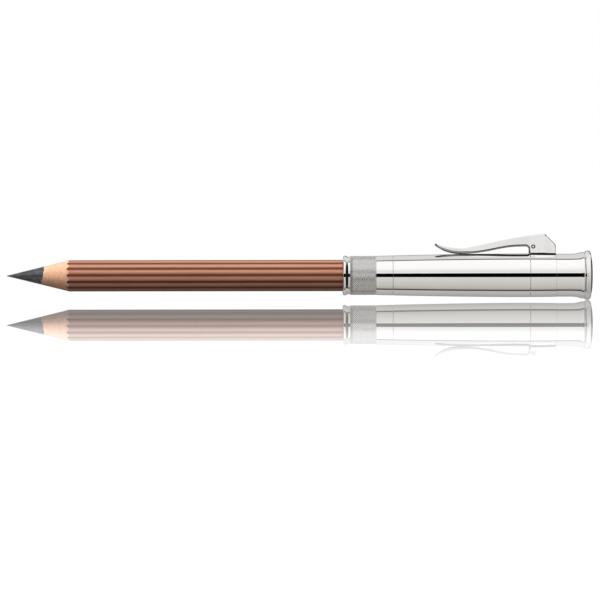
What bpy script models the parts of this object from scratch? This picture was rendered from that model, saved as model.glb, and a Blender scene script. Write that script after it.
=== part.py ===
"""Fluted cedar pencil held in a plated extender cap with a sprung clip and a pull-out sharpener.

Metres, +Z up. The pencil lies along X, its point towards -X and the cap's knob towards +X, with the clip
on top. Lengths along the axis are measured from the cap's mouth, which is x = 0 under the empty
cap_axis. That empty puts the origin under the middle of the whole length, on the surface it lies on.
"""

import math

import bmesh
import bpy

MM = 0.001

# Pencil
PENCIL_R = 4.70 * MM
FLUTES = 14
FLUTE_DEPTH = 0.26 * MM
FLUTE_TURN = math.radians(1.5)
LEAD_R = 2.75 * MM
LEAD_FIT = 0.03 * MM
GLUE_LINE = 0.03 * MM
POINT_HALF_ANGLE = math.radians(13.8)
TIP_R = 0.06 * MM
EXPOSED_L = 100.8 * MM
GRIP_DEPTH = 20.0 * MM
PUSH_L = 3.0 * MM

# Eraser end of the pencil
SPIGOT_L = 4.0 * MM
FERRULE_L = 7.0 * MM
FERRULE_WALL = 0.25 * MM
ERASER_L = 6.0 * MM
ERASER_ROUND = 0.8 * MM
ERASER_CAP_STEP = 0.20 * MM
ERASER_CAP_WALL = 0.30 * MM
ERASER_CAP_REVEAL = 0.8 * MM
ERASER_CAP_ROUND = 0.5 * MM

# Fits shared by the whole assembly
FIT = 0.04 * MM
SEAT = 0.05 * MM
SEAM = 0.04 * MM
GRIP_CLEARANCE = 0.05 * MM
MOUTH_CLEARANCE = 0.12 * MM

# Front of the cap
COLLET_WALL = 0.35 * MM
COLLET_LIP_L = 0.6 * MM
COLLET_LIP_CLEARANCE = 0.08 * MM
COLLET_SLITS = 6
COLLET_SLIT_W = 0.5 * MM
COLLET_SLIT_L = 8.5 * MM
CORE_WALL = 0.30 * MM
MOUTH_L = 2.2 * MM
MOUTH_NOSE_L = 0.6 * MM
MOUTH_CREST_END = 0.75 * MM
MOUTH_BACK_L = 1.10 * MM
MOUTH_PROUD = 0.15 * MM
MOUTH_NOSE_DROP = 0.85 * MM
MOUTH_GROOVE_DEPTH = 0.27 * MM
MOUTH_GROOVE_RISE = 0.10 * MM
MOUTH_SPIGOT_L = 2.0 * MM
KNURL_WALL = 0.37 * MM
KNURL_L = 7.8 * MM
KNURL_EDGE = 0.12 * MM
BAND_STEP = 0.03 * MM
BAND_L = 5.1 * MM

# Barrel and rear bore
BARREL_L = 41.1 * MM
BARREL_WALL = 0.63 * MM
BARREL_SWELL = 1.75
BORE_CLEARANCE = 0.25 * MM
CORE_STEP_X = 26.0 * MM
CORE_STEP_L = 1.6 * MM

# Clip ring, its lug and the ring that keeps it on the core tube
RING_L = 7.8 * MM
RING_TAPER = 0.07 * MM
KEEPER_L = 0.8 * MM
KEEPER_WALL = 0.20 * MM
LUG_W = 2.1 * MM
PIVOT_SETBACK = 0.95 * MM
PIVOT_HEIGHT = 2.05 * MM
PIN_R = 0.55 * MM

# Clip lever
CLIP_W = 3.8 * MM
CLIP_TIP_W = 3.2 * MM
CLIP_DRAFT = math.radians(8.0)
CLIP_EDGE = 0.18 * MM
CLIP_REACH = 29.5 * MM
CLIP_NOSE_R = 0.40 * MM
CLIP_TIP_RISE = 2.55 * MM
CLIP_BEARING = 21.3 * MM
CLIP_GAP = 0.30 * MM
CLIP_BAR_H = 1.38 * MM
ARCH_BACK = 2.95 * MM
ARCH_RISE = 2.48 * MM
HOUSE_TOP = 3.90 * MM
HOUSE_CORNER = 3.45 * MM
HOUSE_SLANT_DROP = 2.84 * MM
HOUSE_CHAMFER = 0.47 * MM
HOUSE_TAIL_GAP = 0.07 * MM
HOUSE_LIFT = 0.15 * MM
HOUSE_FRONT_H = 1.25 * MM
HOUSE_WALL = 0.75 * MM
HOUSE_ROOF = 1.30 * MM
TAIL_RELIEF = 0.55 * MM
SEAT_PAD_H = 0.16 * MM
WELL_BACK = 1.6 * MM
WELL_SIDE = 0.06 * MM
WELL_DEPTH = 0.47 * MM
PIN_PROUD = 0.05 * MM

# Curves of the clip's side outline: slopes, and pulls as shares of the stretch that each curve spans
ROOF_SLOPE = math.radians(6.7)
NOSE_SLOPE = math.radians(35.0)
ROOF_PULL = 0.57
BAR_ROOF_PULL = 0.12
BAR_NOSE_PULL = 0.35
NOSE_PULL = 0.20
NOSE_ROUND_PULL = 0.55
BEARING_NOSE_PULL = 0.42
BEARING_ARCH_PULL = 0.40
ARCH_PULL = 0.37
ARCH_CORNER_PULL = 0.60

# Clip spring
SPRING_BACK = 3.75 * MM
SPRING_R = 0.75 * MM
SPRING_WIRE_R = 0.15 * MM
SPRING_TURNS = 4
SPRING_POINTS = 10

# Knob
PLUG_L = 4.0 * MM
PLUG_CLEARANCE = 0.06 * MM
KNOB_STEP = 0.12 * MM
NECK_L = 4.6 * MM
FLARE_L = 3.0 * MM
FLARE_RISE = 0.53 * MM
LIP_W = 0.35 * MM
COVE_W = 0.6 * MM
COVE_DEPTH = 0.27 * MM
BEAD_R = 0.95 * MM
BEAD_PROUD = 1.00 * MM
DISC_SETBACK = 0.30 * MM
DISC_DEPTH = 0.85 * MM
DISC_DOME = 0.42 * MM
DISC_LAND_R = 3.3 * MM
O_RING_R = 0.27 * MM
O_RING_PROUD = 0.02 * MM
O_RING_SLOT_W = 0.70 * MM

# Sharpener
SHARPENER_CLEARANCE = 0.10 * MM
SHARPENER_WALL = 0.55 * MM
SHARPENER_ENTRY_L = 2.9 * MM
SHARPENER_COLLAR = 2.0 * MM
SHARPENER_TURN = math.radians(40.0)
SEAT_END = 0.4 * MM
TANG_R = 2.5 * MM
TANG_L = 5.0 * MM
BLADE_BITE = 0.30 * MM
BLADE_T = 0.40 * MM
BLADE_W = 3.2 * MM
BLADE_NEAR = 0.8 * MM
BLADE_CUT_L = 16.5 * MM
BLADE_CLIP_L = 2.4 * MM
BLADE_CLIP_W = 1.1 * MM
BLADE_GRIND = 0.6 * MM
SCREW_BACK = 4.2 * MM
SCREW_ASIDE = 2.0 * MM
SCREW_R = 0.55 * MM
SCREW_L = 2.6 * MM
SCREW_HEAD_R = 1.05 * MM
SCREW_HEAD_H = 0.55 * MM
SCREW_SLOT_W = 0.30 * MM
SCREW_SLOT_D = 0.28 * MM

# Facets round a turned piece, and along a curved stretch of an outline
TURN_STEPS = 32
ARC_STEPS = 5
CURVE_STEPS = 8
FLUTE_STEPS = 6
OVERCUT = 1.0 * MM
MERGE = 1e-6

# A turned piece lies on the flat of a facet, which is this share of its radius from the axis
FLAT = math.cos(math.pi / TURN_STEPS)

# Radii, worked outwards from the pencil
COLLET_IR = PENCIL_R + GRIP_CLEARANCE
COLLET_OR = COLLET_IR + COLLET_WALL
CORE_FRONT_IR = COLLET_OR + FIT
CORE_FRONT_OR = CORE_FRONT_IR + CORE_WALL
SLEEVE_IR = CORE_FRONT_OR + FIT
KNURL_R = SLEEVE_IR + KNURL_WALL
BAND_R = KNURL_R + BAND_STEP
ENTRY_R = PENCIL_R + SHARPENER_CLEARANCE
SHARPENER_R = ENTRY_R + SHARPENER_WALL
CORE_REAR_IR = SHARPENER_R + BORE_CLEARANCE
CORE_REAR_OR = CORE_REAR_IR + CORE_WALL
BARREL_IR = CORE_REAR_OR + FIT
BARREL_R = BARREL_IR + BARREL_WALL
RING_REAR_R = BARREL_R - RING_TAPER
NECK_R = BARREL_R - KNOB_STEP
BEAD_CREST = NECK_R + BEAD_PROUD
BEAD_CENTRE = BEAD_CREST - BEAD_R
DISC_R = BEAD_CENTRE - DISC_SETBACK
ERASER_CAP_R = PENCIL_R - ERASER_CAP_STEP
ERASER_CAP_IR = ERASER_CAP_R - ERASER_CAP_WALL
FERRULE_R = ERASER_CAP_IR - FIT
FERRULE_IR = FERRULE_R - FERRULE_WALL
ERASER_R = FERRULE_IR - FIT

# Stations along the axis, from the mouth
X_TIP = -EXPOSED_L
X_APEX = X_TIP - TIP_R / math.tan(POINT_HALF_ANGLE)
X_KNURL = MOUTH_L
X_BAND = X_KNURL + KNURL_L
X_BARREL = X_BAND + BAND_L
X_RING = X_BARREL + BARREL_L
X_KNOB = X_RING + RING_L
X_PLUG = X_KNOB - PLUG_L
X_COLLET = MOUTH_L + MOUTH_SPIGOT_L + SEAT
X_STOP = GRIP_DEPTH - SPIGOT_L + PUSH_L + SEAT
X_CORE_REAR = X_KNOB + KEEPER_L
X_FLARE = X_KNOB + NECK_L
X_LIP = X_FLARE + FLARE_L
X_BEAD = X_LIP + LIP_W + COVE_W + BEAD_R
X_END = X_BEAD + BEAD_R
X_LAND = X_END + DISC_DOME
X_SHOULDER = GRIP_DEPTH - SPIGOT_L
X_ERASER_END = GRIP_DEPTH + SEAT + ERASER_L
X_SHARPENER_REAR = X_PLUG - SEAT
X_CONE_APEX = X_SHARPENER_REAR - SHARPENER_COLLAR
X_CONE_MOUTH = X_CONE_APEX - ENTRY_R / math.tan(POINT_HALF_ANGLE)
X_SHARPENER_FRONT = X_CONE_MOUTH - SHARPENER_ENTRY_L
X_PIVOT = X_RING + PIVOT_SETBACK
Z_PIVOT = BARREL_R + PIVOT_HEIGHT
HOUSE_FLOOR = HOUSE_LIFT - PIVOT_HEIGHT
X_MIDDLE = (X_TIP + X_LAND) / 2


def clear_scene():
    for ob in list(bpy.data.objects):
        bpy.data.objects.remove(ob, do_unlink=True)


def collection(name):
    made = bpy.data.collections.new(name)
    bpy.context.scene.collection.children.link(made)
    return made


clear_scene()
PARTS = collection("pencil_with_extender_cap")
CUTTERS = collection("cutters")


def material(name, colour, metallic, roughness):
    made = bpy.data.materials.new(name)
    made.use_nodes = True
    shader = made.node_tree.nodes["Principled BSDF"]
    shader.inputs["Base Color"].default_value = (*colour, 1.0)
    shader.inputs["Metallic"].default_value = metallic
    shader.inputs["Roughness"].default_value = roughness
    made.diffuse_color = (*colour, 1.0)
    return made


def empty(name, parent=None, location=(0, 0, 0), rotation=(0, 0, 0)):
    made = bpy.data.objects.new(name, None)
    made.parent = parent
    made.location = location
    made.rotation_euler = rotation
    PARTS.objects.link(made)
    return made


def place(ob, parent, location=(0, 0, 0), rotation=(0, 0, 0)):
    ob.parent = parent
    ob.location = location
    ob.rotation_euler = rotation
    PARTS.objects.link(ob)
    return ob


def finish(ob, colour, metallic, roughness):
    ob.data.materials.append(material(ob.name, colour, metallic, roughness))
    return ob


def as_cutter(ob):
    for owner in list(ob.users_collection):
        owner.objects.unlink(ob)
    CUTTERS.objects.link(ob)
    ob.hide_render = True
    ob.display_type = "WIRE"
    return ob


def boolean(ob, tool, operation):
    cut = ob.modifiers.new(tool.name, "BOOLEAN")
    cut.object = tool
    cut.operation = operation
    cut.solver = "EXACT"


def turned(name, profile, parent, closed, steps=TURN_STEPS):
    """A solid turned about X from (x, radius) points, front to rear outside and rear to front inside."""
    half = math.pi / steps
    points = [(r * math.cos(half), r * math.sin(half), x) for x, r in reversed(profile)]
    edges = [(i, i + 1) for i in range(len(points) - 1)]
    if closed:
        edges.append((len(points) - 1, 0))
    mesh = bpy.data.meshes.new(name)
    mesh.from_pydata(points, edges, [])
    ob = place(bpy.data.objects.new(name, mesh), parent, rotation=(0, math.pi / 2, 0))
    screw = ob.modifiers.new("Turn", "SCREW")
    screw.axis = "Z"
    screw.steps = steps
    screw.render_steps = steps
    screw.use_merge_vertices = True
    screw.merge_threshold = MERGE
    screw.use_smooth_shade = True
    return ob


def arc(centre_x, centre_r, half_x, half_r, start, end):
    """Points of an elliptical arc in a turned profile; angles in degrees, 0 to the rear and 90 outwards."""
    angles = [math.radians(start + (end - start) * i / ARC_STEPS) for i in range(ARC_STEPS + 1)]
    return [(centre_x + half_x * math.cos(a), centre_r + half_r * math.sin(a)) for a in angles]


def outline_solid(name, parent, spline_points, thickness, edge=0.0, bezier=False):
    """A flat outline extruded to a thickness along its local Z, as a closed mesh."""
    curve = bpy.data.curves.new(name, "CURVE")
    curve.dimensions = "2D"
    curve.fill_mode = "BOTH"
    curve.extrude = thickness / 2 - edge
    curve.bevel_depth = edge
    curve.bevel_resolution = 0
    curve.offset = -edge
    curve.resolution_u = CURVE_STEPS
    curve.render_resolution_u = 0
    if bezier:
        spline = curve.splines.new("BEZIER")
        spline.bezier_points.add(len(spline_points) - 1)
        for knot, (co, left, right) in zip(spline.bezier_points, spline_points):
            knot.co = (*co, 0)
            knot.handle_left = (co[0] + left[0], co[1] + left[1], 0)
            knot.handle_right = (co[0] + right[0], co[1] + right[1], 0)
            knot.handle_left_type = "FREE" if any(left) else "VECTOR"
            knot.handle_right_type = "FREE" if any(right) else "VECTOR"
    else:
        spline = curve.splines.new("POLY")
        spline.points.add(len(spline_points) - 1)
        for knot, co in zip(spline.points, spline_points):
            knot.co = (*co, 0, 1)
    spline.use_cyclic_u = True
    guide = bpy.data.objects.new(name, curve)
    CUTTERS.objects.link(guide)
    evaluated = guide.evaluated_get(bpy.context.evaluated_depsgraph_get())
    mesh = bpy.data.meshes.new_from_object(evaluated)
    bpy.data.objects.remove(guide)
    shape = bmesh.new()
    shape.from_mesh(mesh)
    bmesh.ops.remove_doubles(shape, verts=shape.verts, dist=MERGE)
    bmesh.ops.recalc_face_normals(shape, faces=shape.faces)
    shape.to_mesh(mesh)
    shape.free()
    return place(bpy.data.objects.new(name, mesh), parent)


def block(name, parent, low, high):
    """A box between two corners."""
    mesh = bpy.data.meshes.new(name)
    shape = bmesh.new()
    bmesh.ops.create_cube(shape, size=1.0)
    for vert in shape.verts:
        for axis in range(3):
            vert.co[axis] = low[axis] if vert.co[axis] < 0 else high[axis]
    shape.to_mesh(mesh)
    shape.free()
    return place(bpy.data.objects.new(name, mesh), parent)


def rod(name, parent, radius, length, segments, location=(0, 0, 0), rotation=(0, 0, 0)):
    """A cylinder along its local Z, centred on its origin."""
    mesh = bpy.data.meshes.new(name)
    shape = bmesh.new()
    bmesh.ops.create_cone(
        shape, cap_ends=True, segments=segments, radius1=radius, radius2=radius, depth=length
    )
    shape.to_mesh(mesh)
    shape.free()
    mesh.shade_smooth()
    mesh.set_sharp_from_angle(angle=math.radians(35))
    return place(bpy.data.objects.new(name, mesh), parent, location, rotation)


def barrel_radius(x):
    """Outside of the plain band and the barrel, which swell towards the clip ring."""
    share = (X_RING - x) / (X_RING - X_BAND)
    return BARREL_R - (BARREL_R - BAND_R) * share**BARREL_SWELL


# Pencil


def fluted_radius(angle):
    """Crest line of the casing: rounded reeds that meet in valleys, with a valley at angle 0."""
    return PENCIL_R - FLUTE_DEPTH * (1 - abs(math.sin(FLUTES * angle / 2)))


def slat(name, parent, side, envelope):
    """Half of the fluted casing, from the glue line at one valley to the opposite one; side is 1 or -1."""
    count = FLUTES * FLUTE_STEPS // 2
    outer = [math.pi * i / count for i in range(count + 1)]
    bore = [math.pi * i / (TURN_STEPS // 2) for i in range(TURN_STEPS // 2 + 1)]
    half_gap = GLUE_LINE / 2
    points = []
    for angle in outer:
        radius = fluted_radius(angle)
        points.append((-side * (radius * math.sin(angle) + half_gap), -radius * math.cos(angle)))
    for angle in reversed(bore):
        radius = LEAD_R + LEAD_FIT
        points.append((-side * (radius * math.sin(angle) + half_gap), -radius * math.cos(angle)))
    length = X_SHOULDER - X_APEX + SPIGOT_L + 2 * OVERCUT
    ob = outline_solid(name, parent, points, length)
    ob.rotation_euler.y = math.pi / 2
    ob.location.x = (X_APEX + GRIP_DEPTH) / 2
    boolean(ob, envelope, "INTERSECT")
    ob.data.shade_smooth()
    ob.data.set_sharp_from_angle(angle=math.radians(35))
    return finish(ob, (0.36, 0.16, 0.09), 0.0, 0.35)


def pencil_envelope(parent):
    """What the sharpener and the lathe leave of the casing: the point, the shank and the rear spigot."""
    proud = PENCIL_R + OVERCUT
    profile = [
        (X_APEX, 0),
        (X_APEX + proud / math.tan(POINT_HALF_ANGLE), proud),
        (X_SHOULDER, proud),
        (X_SHOULDER, ERASER_R),
        (GRIP_DEPTH, ERASER_R),
        (GRIP_DEPTH, 0),
    ]
    return as_cutter(turned("pencil_envelope", profile, parent, closed=False))


def graphite_lead(parent):
    profile = [
        (X_TIP, 0),
        (X_TIP, TIP_R),
        (X_APEX + LEAD_R / math.tan(POINT_HALF_ANGLE), LEAD_R),
        (GRIP_DEPTH, LEAD_R),
        (GRIP_DEPTH, 0),
    ]
    finish(turned("graphite_lead", profile, parent, closed=False), (0.06, 0.06, 0.065), 0.3, 0.4)


def eraser_ferrule(parent):
    front = X_SHOULDER + SEAT
    rear = front + FERRULE_L
    profile = [(front, FERRULE_R), (rear, FERRULE_R), (rear, FERRULE_IR), (front, FERRULE_IR)]
    finish(turned("eraser_ferrule", profile, parent, closed=True), (0.78, 0.76, 0.73), 1.0, 0.2)


def eraser(parent):
    front = GRIP_DEPTH + SEAT
    crown = arc(X_ERASER_END - ERASER_ROUND, ERASER_R - ERASER_ROUND, ERASER_ROUND, ERASER_ROUND, 90, 0)
    profile = [(front, 0), (front, ERASER_R), *crown, (X_ERASER_END, 0)]
    finish(turned("eraser", profile, parent, closed=False), (0.82, 0.8, 0.76), 0.0, 0.8)


def eraser_cap(parent):
    front = X_SHOULDER + ERASER_CAP_REVEAL
    floor = X_ERASER_END + SEAT
    rear = floor + ERASER_CAP_WALL
    crown = arc(
        rear - ERASER_CAP_ROUND, ERASER_CAP_R - ERASER_CAP_ROUND, ERASER_CAP_ROUND, ERASER_CAP_ROUND, 90, 0
    )
    inside = [(floor, 0), (floor, ERASER_CAP_IR - ERASER_ROUND / 2)]
    inside += [(floor - ERASER_ROUND / 2, ERASER_CAP_IR), (front, ERASER_CAP_IR)]
    profile = [*inside, (front, ERASER_CAP_R), *crown, (rear, 0)]
    finish(turned("eraser_cap", profile, parent, closed=False), (0.8, 0.79, 0.77), 1.0, 0.12)


# Cap body


def core_tube(parent):
    front = X_KNURL + SEAM / 2
    step = CORE_STEP_X
    wide = step + CORE_STEP_L
    profile = [
        (front, CORE_FRONT_OR),
        (step, CORE_FRONT_OR),
        (wide, CORE_REAR_OR),
        (X_CORE_REAR, CORE_REAR_OR),
        (X_CORE_REAR, CORE_REAR_IR),
        (wide + CORE_WALL, CORE_REAR_IR),
        (step + CORE_WALL, CORE_FRONT_IR),
        (front, CORE_FRONT_IR),
    ]
    finish(turned("core_tube", profile, parent, closed=True), (0.72, 0.55, 0.28), 1.0, 0.3)


def grip_collet(parent):
    """Slit liner that grips the casing; its lip stops the casing and lets the eraser cap by."""
    rear = X_STOP + COLLET_LIP_L
    lip = ERASER_CAP_R + COLLET_LIP_CLEARANCE
    profile = [
        (X_COLLET, COLLET_OR),
        (rear, COLLET_OR),
        (rear, lip),
        (X_STOP, lip),
        (X_STOP, COLLET_IR),
        (X_COLLET, COLLET_IR),
    ]
    ob = turned("grip_collet", profile, parent, closed=True)
    for i in range(COLLET_SLITS):
        slit = block(
            f"collet_slit_{i + 1}",
            parent,
            (rear - COLLET_SLIT_L, -COLLET_SLIT_W / 2, COLLET_IR / 2),
            (rear + OVERCUT, COLLET_SLIT_W / 2, COLLET_OR + OVERCUT),
        )
        slit.rotation_euler.x = 2 * math.pi * i / COLLET_SLITS
        boolean(ob, as_cutter(slit), "DIFFERENCE")
    finish(ob, (0.03, 0.03, 0.032), 0.0, 0.5)


def mouth_ring(parent):
    mouth_r = PENCIL_R + MOUTH_CLEARANCE
    crest = KNURL_R + MOUTH_PROUD
    groove = KNURL_R - MOUTH_GROOVE_DEPTH
    rear = MOUTH_L - SEAM / 2
    spigot = MOUTH_L + MOUTH_SPIGOT_L
    nose = arc(MOUTH_NOSE_L, crest - MOUTH_NOSE_DROP, MOUTH_NOSE_L, MOUTH_NOSE_DROP, 180, 90)
    shares = [i / (2 * ARC_STEPS) for i in range(1, 2 * ARC_STEPS + 1)]
    back = [
        (MOUTH_CREST_END + MOUTH_BACK_L * t, crest - (crest - groove) * t * t * (3 - 2 * t)) for t in shares
    ]
    profile = [
        (0, mouth_r),
        *nose,
        (MOUTH_CREST_END, crest),
        *back,
        (rear, groove + MOUTH_GROOVE_RISE),
        (rear, COLLET_OR),
        (spigot, COLLET_OR),
        (spigot, mouth_r),
    ]
    finish(turned("mouth_ring", profile, parent, closed=True), (0.8, 0.79, 0.77), 1.0, 0.08)


def knurled_sleeve(parent):
    front = X_KNURL + SEAM / 2
    rear = X_BAND - SEAM / 2
    profile = [
        (front, KNURL_R - KNURL_EDGE),
        (front + KNURL_EDGE, KNURL_R),
        (rear - KNURL_EDGE, KNURL_R),
        (rear, KNURL_R - KNURL_EDGE),
        (rear, SLEEVE_IR),
        (front, SLEEVE_IR),
    ]
    finish(turned("knurled_sleeve", profile, parent, closed=True), (0.66, 0.65, 0.64), 1.0, 0.3)


def swollen(front, rear, stretches):
    """Points of the barrel line between two stations."""
    stations = [front + (rear - front) * i / stretches for i in range(stretches + 1)]
    return [(x, barrel_radius(x)) for x in stations]


def plain_band(parent):
    front = X_BAND + SEAM / 2
    rear = X_BARREL - SEAM / 2
    profile = [*swollen(front, rear, 2), (rear, SLEEVE_IR), (front, SLEEVE_IR)]
    finish(turned("plain_band", profile, parent, closed=True), (0.8, 0.79, 0.77), 1.0, 0.08)


def barrel(parent):
    front = X_BARREL + SEAM / 2
    rear = X_RING - SEAM / 2
    step = CORE_STEP_X - CORE_WALL
    wide = step + CORE_STEP_L
    profile = [
        *swollen(front, rear, 8),
        (rear, BARREL_IR),
        (wide, BARREL_IR),
        (step, SLEEVE_IR),
        (front, SLEEVE_IR),
    ]
    finish(turned("barrel", profile, parent, closed=True), (0.8, 0.79, 0.77), 1.0, 0.06)


def clip_ring(parent, pivot):
    """Ring with the clip's lug, the pad that its spring stands on, and two wells beside the pad that the
    walls of the lever's house sink into as it opens."""
    front = X_RING + SEAM / 2
    rear = X_KNOB - SEAM / 2
    profile = [(front, BARREL_R), (rear, RING_REAR_R), (rear, BARREL_IR), (front, BARREL_IR)]
    ob = turned("clip_ring", profile, parent, closed=True)
    lug_r = PIVOT_SETBACK - SEAM
    root = (BARREL_IR + BARREL_R) / 2 - Z_PIVOT
    head = [math.pi * i / (2 * ARC_STEPS) for i in range(2 * ARC_STEPS + 1)]
    points = [(lug_r * math.cos(a), lug_r * math.sin(a)) for a in head]
    points += [(-lug_r, root), (lug_r, root)]
    lug = outline_solid("clip_lug", pivot, points, LUG_W)
    lug.rotation_euler.x = math.pi / 2
    boolean(ob, as_cutter(lug), "UNION")
    pad_top = SEAT_PAD_H - PIVOT_HEIGHT
    pad_rear = rear - X_PIVOT
    pad = block("seat_pad", pivot, (0, -LUG_W / 2, root), (pad_rear, LUG_W / 2, pad_top))
    boolean(ob, as_cutter(pad), "UNION")
    boolean(ob, pin_bore("lug_bore", pivot, LUG_W), "DIFFERENCE")
    inner = CLIP_W / 2 - HOUSE_WALL - WELL_SIDE
    outer = CLIP_W / 2 + WELL_SIDE
    floor = -PIVOT_HEIGHT - WELL_DEPTH
    for name, low_y, high_y in (("well_near", -outer, -inner), ("well_far", inner, outer)):
        well = block(name, pivot, (WELL_BACK, low_y, floor), (RING_L, high_y, 0))
        boolean(ob, as_cutter(well), "DIFFERENCE")
    finish(ob, (0.8, 0.79, 0.77), 1.0, 0.06)


def pin_bore(name, pivot, width):
    ob = rod(name, pivot, PIN_R + FIT, width + 2 * OVERCUT, 16, rotation=(math.pi / 2, 0, 0))
    return as_cutter(ob)


def clip_pin(pivot):
    length = 2 * (clip_half_width(0, 0) + PIN_PROUD)
    ob = rod("clip_pin", pivot, PIN_R, length, 16, rotation=(math.pi / 2, 0, 0))
    finish(ob, (0.75, 0.74, 0.72), 1.0, 0.2)


def ring_keeper(parent):
    front = X_KNOB
    inner = CORE_REAR_OR + FIT
    outer = inner + KEEPER_WALL
    profile = [(front, outer), (X_CORE_REAR, outer), (X_CORE_REAR, inner), (front, inner)]
    finish(turned("ring_keeper", profile, parent, closed=True), (0.6, 0.6, 0.6), 1.0, 0.3)


# Clip


def pull(length, angle=0.0):
    """A curve handle of that length, turned up from the direction of +X."""
    return (length * math.cos(angle), length * math.sin(angle))


def clip_profile():
    """Side outline of the lever about its pivot, as (knot, left handle, right handle)."""
    bearing = barrel_radius(X_PIVOT - CLIP_BEARING) + CLIP_GAP - Z_PIVOT
    bar_top = bearing + CLIP_BAR_H
    nose = bearing + CLIP_TIP_RISE
    arch = bearing + ARCH_RISE
    front = -(PIVOT_SETBACK + SEAM)
    tail = RING_L - PIVOT_SETBACK - HOUSE_TAIL_GAP
    slant = HOUSE_TOP - HOUSE_SLANT_DROP
    roof_run = HOUSE_CORNER + CLIP_BEARING
    nose_run = CLIP_REACH - CLIP_BEARING
    arch_run = CLIP_BEARING - ARCH_BACK
    front_run = ARCH_BACK + front
    to_bar = pull(NOSE_PULL * nose_run, -NOSE_SLOPE)
    round_off = NOSE_ROUND_PULL * CLIP_NOSE_R
    over = pull(-round_off, -NOSE_SLOPE)
    under = pull(-round_off / 2, -NOSE_SLOPE)
    sharp = (0, 0)
    return [
        ((HOUSE_CORNER, HOUSE_TOP), sharp, pull(-ROOF_PULL * roof_run, ROOF_SLOPE)),
        ((-CLIP_BEARING, bar_top), pull(BAR_ROOF_PULL * roof_run), pull(-BAR_NOSE_PULL * nose_run)),
        ((-CLIP_REACH + CLIP_NOSE_R, nose + CLIP_NOSE_R), to_bar, over),
        ((-CLIP_REACH, nose), (0, round_off), (0, -round_off)),
        ((-CLIP_REACH + CLIP_NOSE_R / 2, nose - CLIP_NOSE_R), under, to_bar),
        ((-CLIP_BEARING, bearing), pull(-BEARING_NOSE_PULL * nose_run), pull(BEARING_ARCH_PULL * arch_run)),
        ((-ARCH_BACK, arch), pull(-ARCH_PULL * arch_run), pull(ARCH_CORNER_PULL * front_run)),
        ((front, HOUSE_FLOOR + HOUSE_FRONT_H), (0, ARCH_CORNER_PULL * front_run), sharp),
        ((front, HOUSE_FLOOR), sharp, sharp),
        ((tail, HOUSE_FLOOR), sharp, sharp),
        ((tail, slant - HOUSE_CHAMFER), sharp, sharp),
        ((tail - HOUSE_CHAMFER, slant), sharp, sharp),
    ]


def clip_half_width(x, z):
    """Half of the lever's width: it narrows towards the nose, and upwards by the draft of its sides."""
    along = min(max((-x - ARCH_BACK) / (CLIP_REACH - ARCH_BACK), 0.0), 1.0)
    foot = CLIP_W / 2 - along * (CLIP_W - CLIP_TIP_W) / 2
    return foot - (z - HOUSE_FLOOR) * math.tan(CLIP_DRAFT)


def clip_lever(pivot):
    ob = outline_solid("clip_lever", pivot, clip_profile(), CLIP_W, edge=CLIP_EDGE, bezier=True)
    for vert in ob.data.vertices:
        vert.co.z *= clip_half_width(vert.co.x, vert.co.y) / (CLIP_W / 2)
    ob.rotation_euler.x = math.pi / 2
    inside = CLIP_W / 2 - HOUSE_WALL
    pocket_end = SPRING_BACK + SPRING_R + 2 * SPRING_WIRE_R
    deep = -PIVOT_HEIGHT
    house = block("house_slot", pivot, (-ARCH_BACK, -inside, deep), (pocket_end, inside, HOUSE_ROOF))
    relief = block("tail_relief", pivot, (0, -inside, deep), (RING_L, inside, HOUSE_FLOOR + TAIL_RELIEF))
    boolean(ob, as_cutter(house), "DIFFERENCE")
    boolean(ob, as_cutter(relief), "DIFFERENCE")
    boolean(ob, pin_bore("clip_bore", pivot, CLIP_W), "DIFFERENCE")
    ob.data.shade_smooth()
    ob.data.set_sharp_from_angle(angle=math.radians(35))
    finish(ob, (0.8, 0.79, 0.77), 1.0, 0.1)


def clip_spring(parent):
    """Compression coil between the clip ring and the roof of the lever's house."""
    x = X_PIVOT + SPRING_BACK
    low = BARREL_R + SEAT_PAD_H + SEAT + SPRING_WIRE_R
    high = Z_PIVOT + HOUSE_ROOF - SEAT - SPRING_WIRE_R
    count = SPRING_TURNS * SPRING_POINTS
    path = []
    for i in range(count + 1):
        turn = 2 * math.pi * i / SPRING_POINTS
        height = low + (high - low) * i / count
        path.append((SPRING_R * math.cos(turn), SPRING_R * math.sin(turn), height))
    apart = min(math.dist(path[i], path[i + SPRING_POINTS]) for i in range(count + 1 - SPRING_POINTS))
    print(f"clip_spring: least gap between turns {(apart - 2 * SPRING_WIRE_R) / MM:.2f} mm")
    curve = bpy.data.curves.new("clip_spring", "CURVE")
    curve.dimensions = "3D"
    curve.bevel_depth = SPRING_WIRE_R
    curve.bevel_resolution = 1
    curve.render_resolution_u = 0
    curve.use_fill_caps = True
    spline = curve.splines.new("POLY")
    spline.points.add(count)
    for knot, co in zip(spline.points, path):
        knot.co = (*co, 1)
    ob = place(bpy.data.objects.new("clip_spring", curve), parent, (x, 0, 0))
    finish(ob, (0.55, 0.55, 0.56), 1.0, 0.3)


# Knob and sharpener


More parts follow.
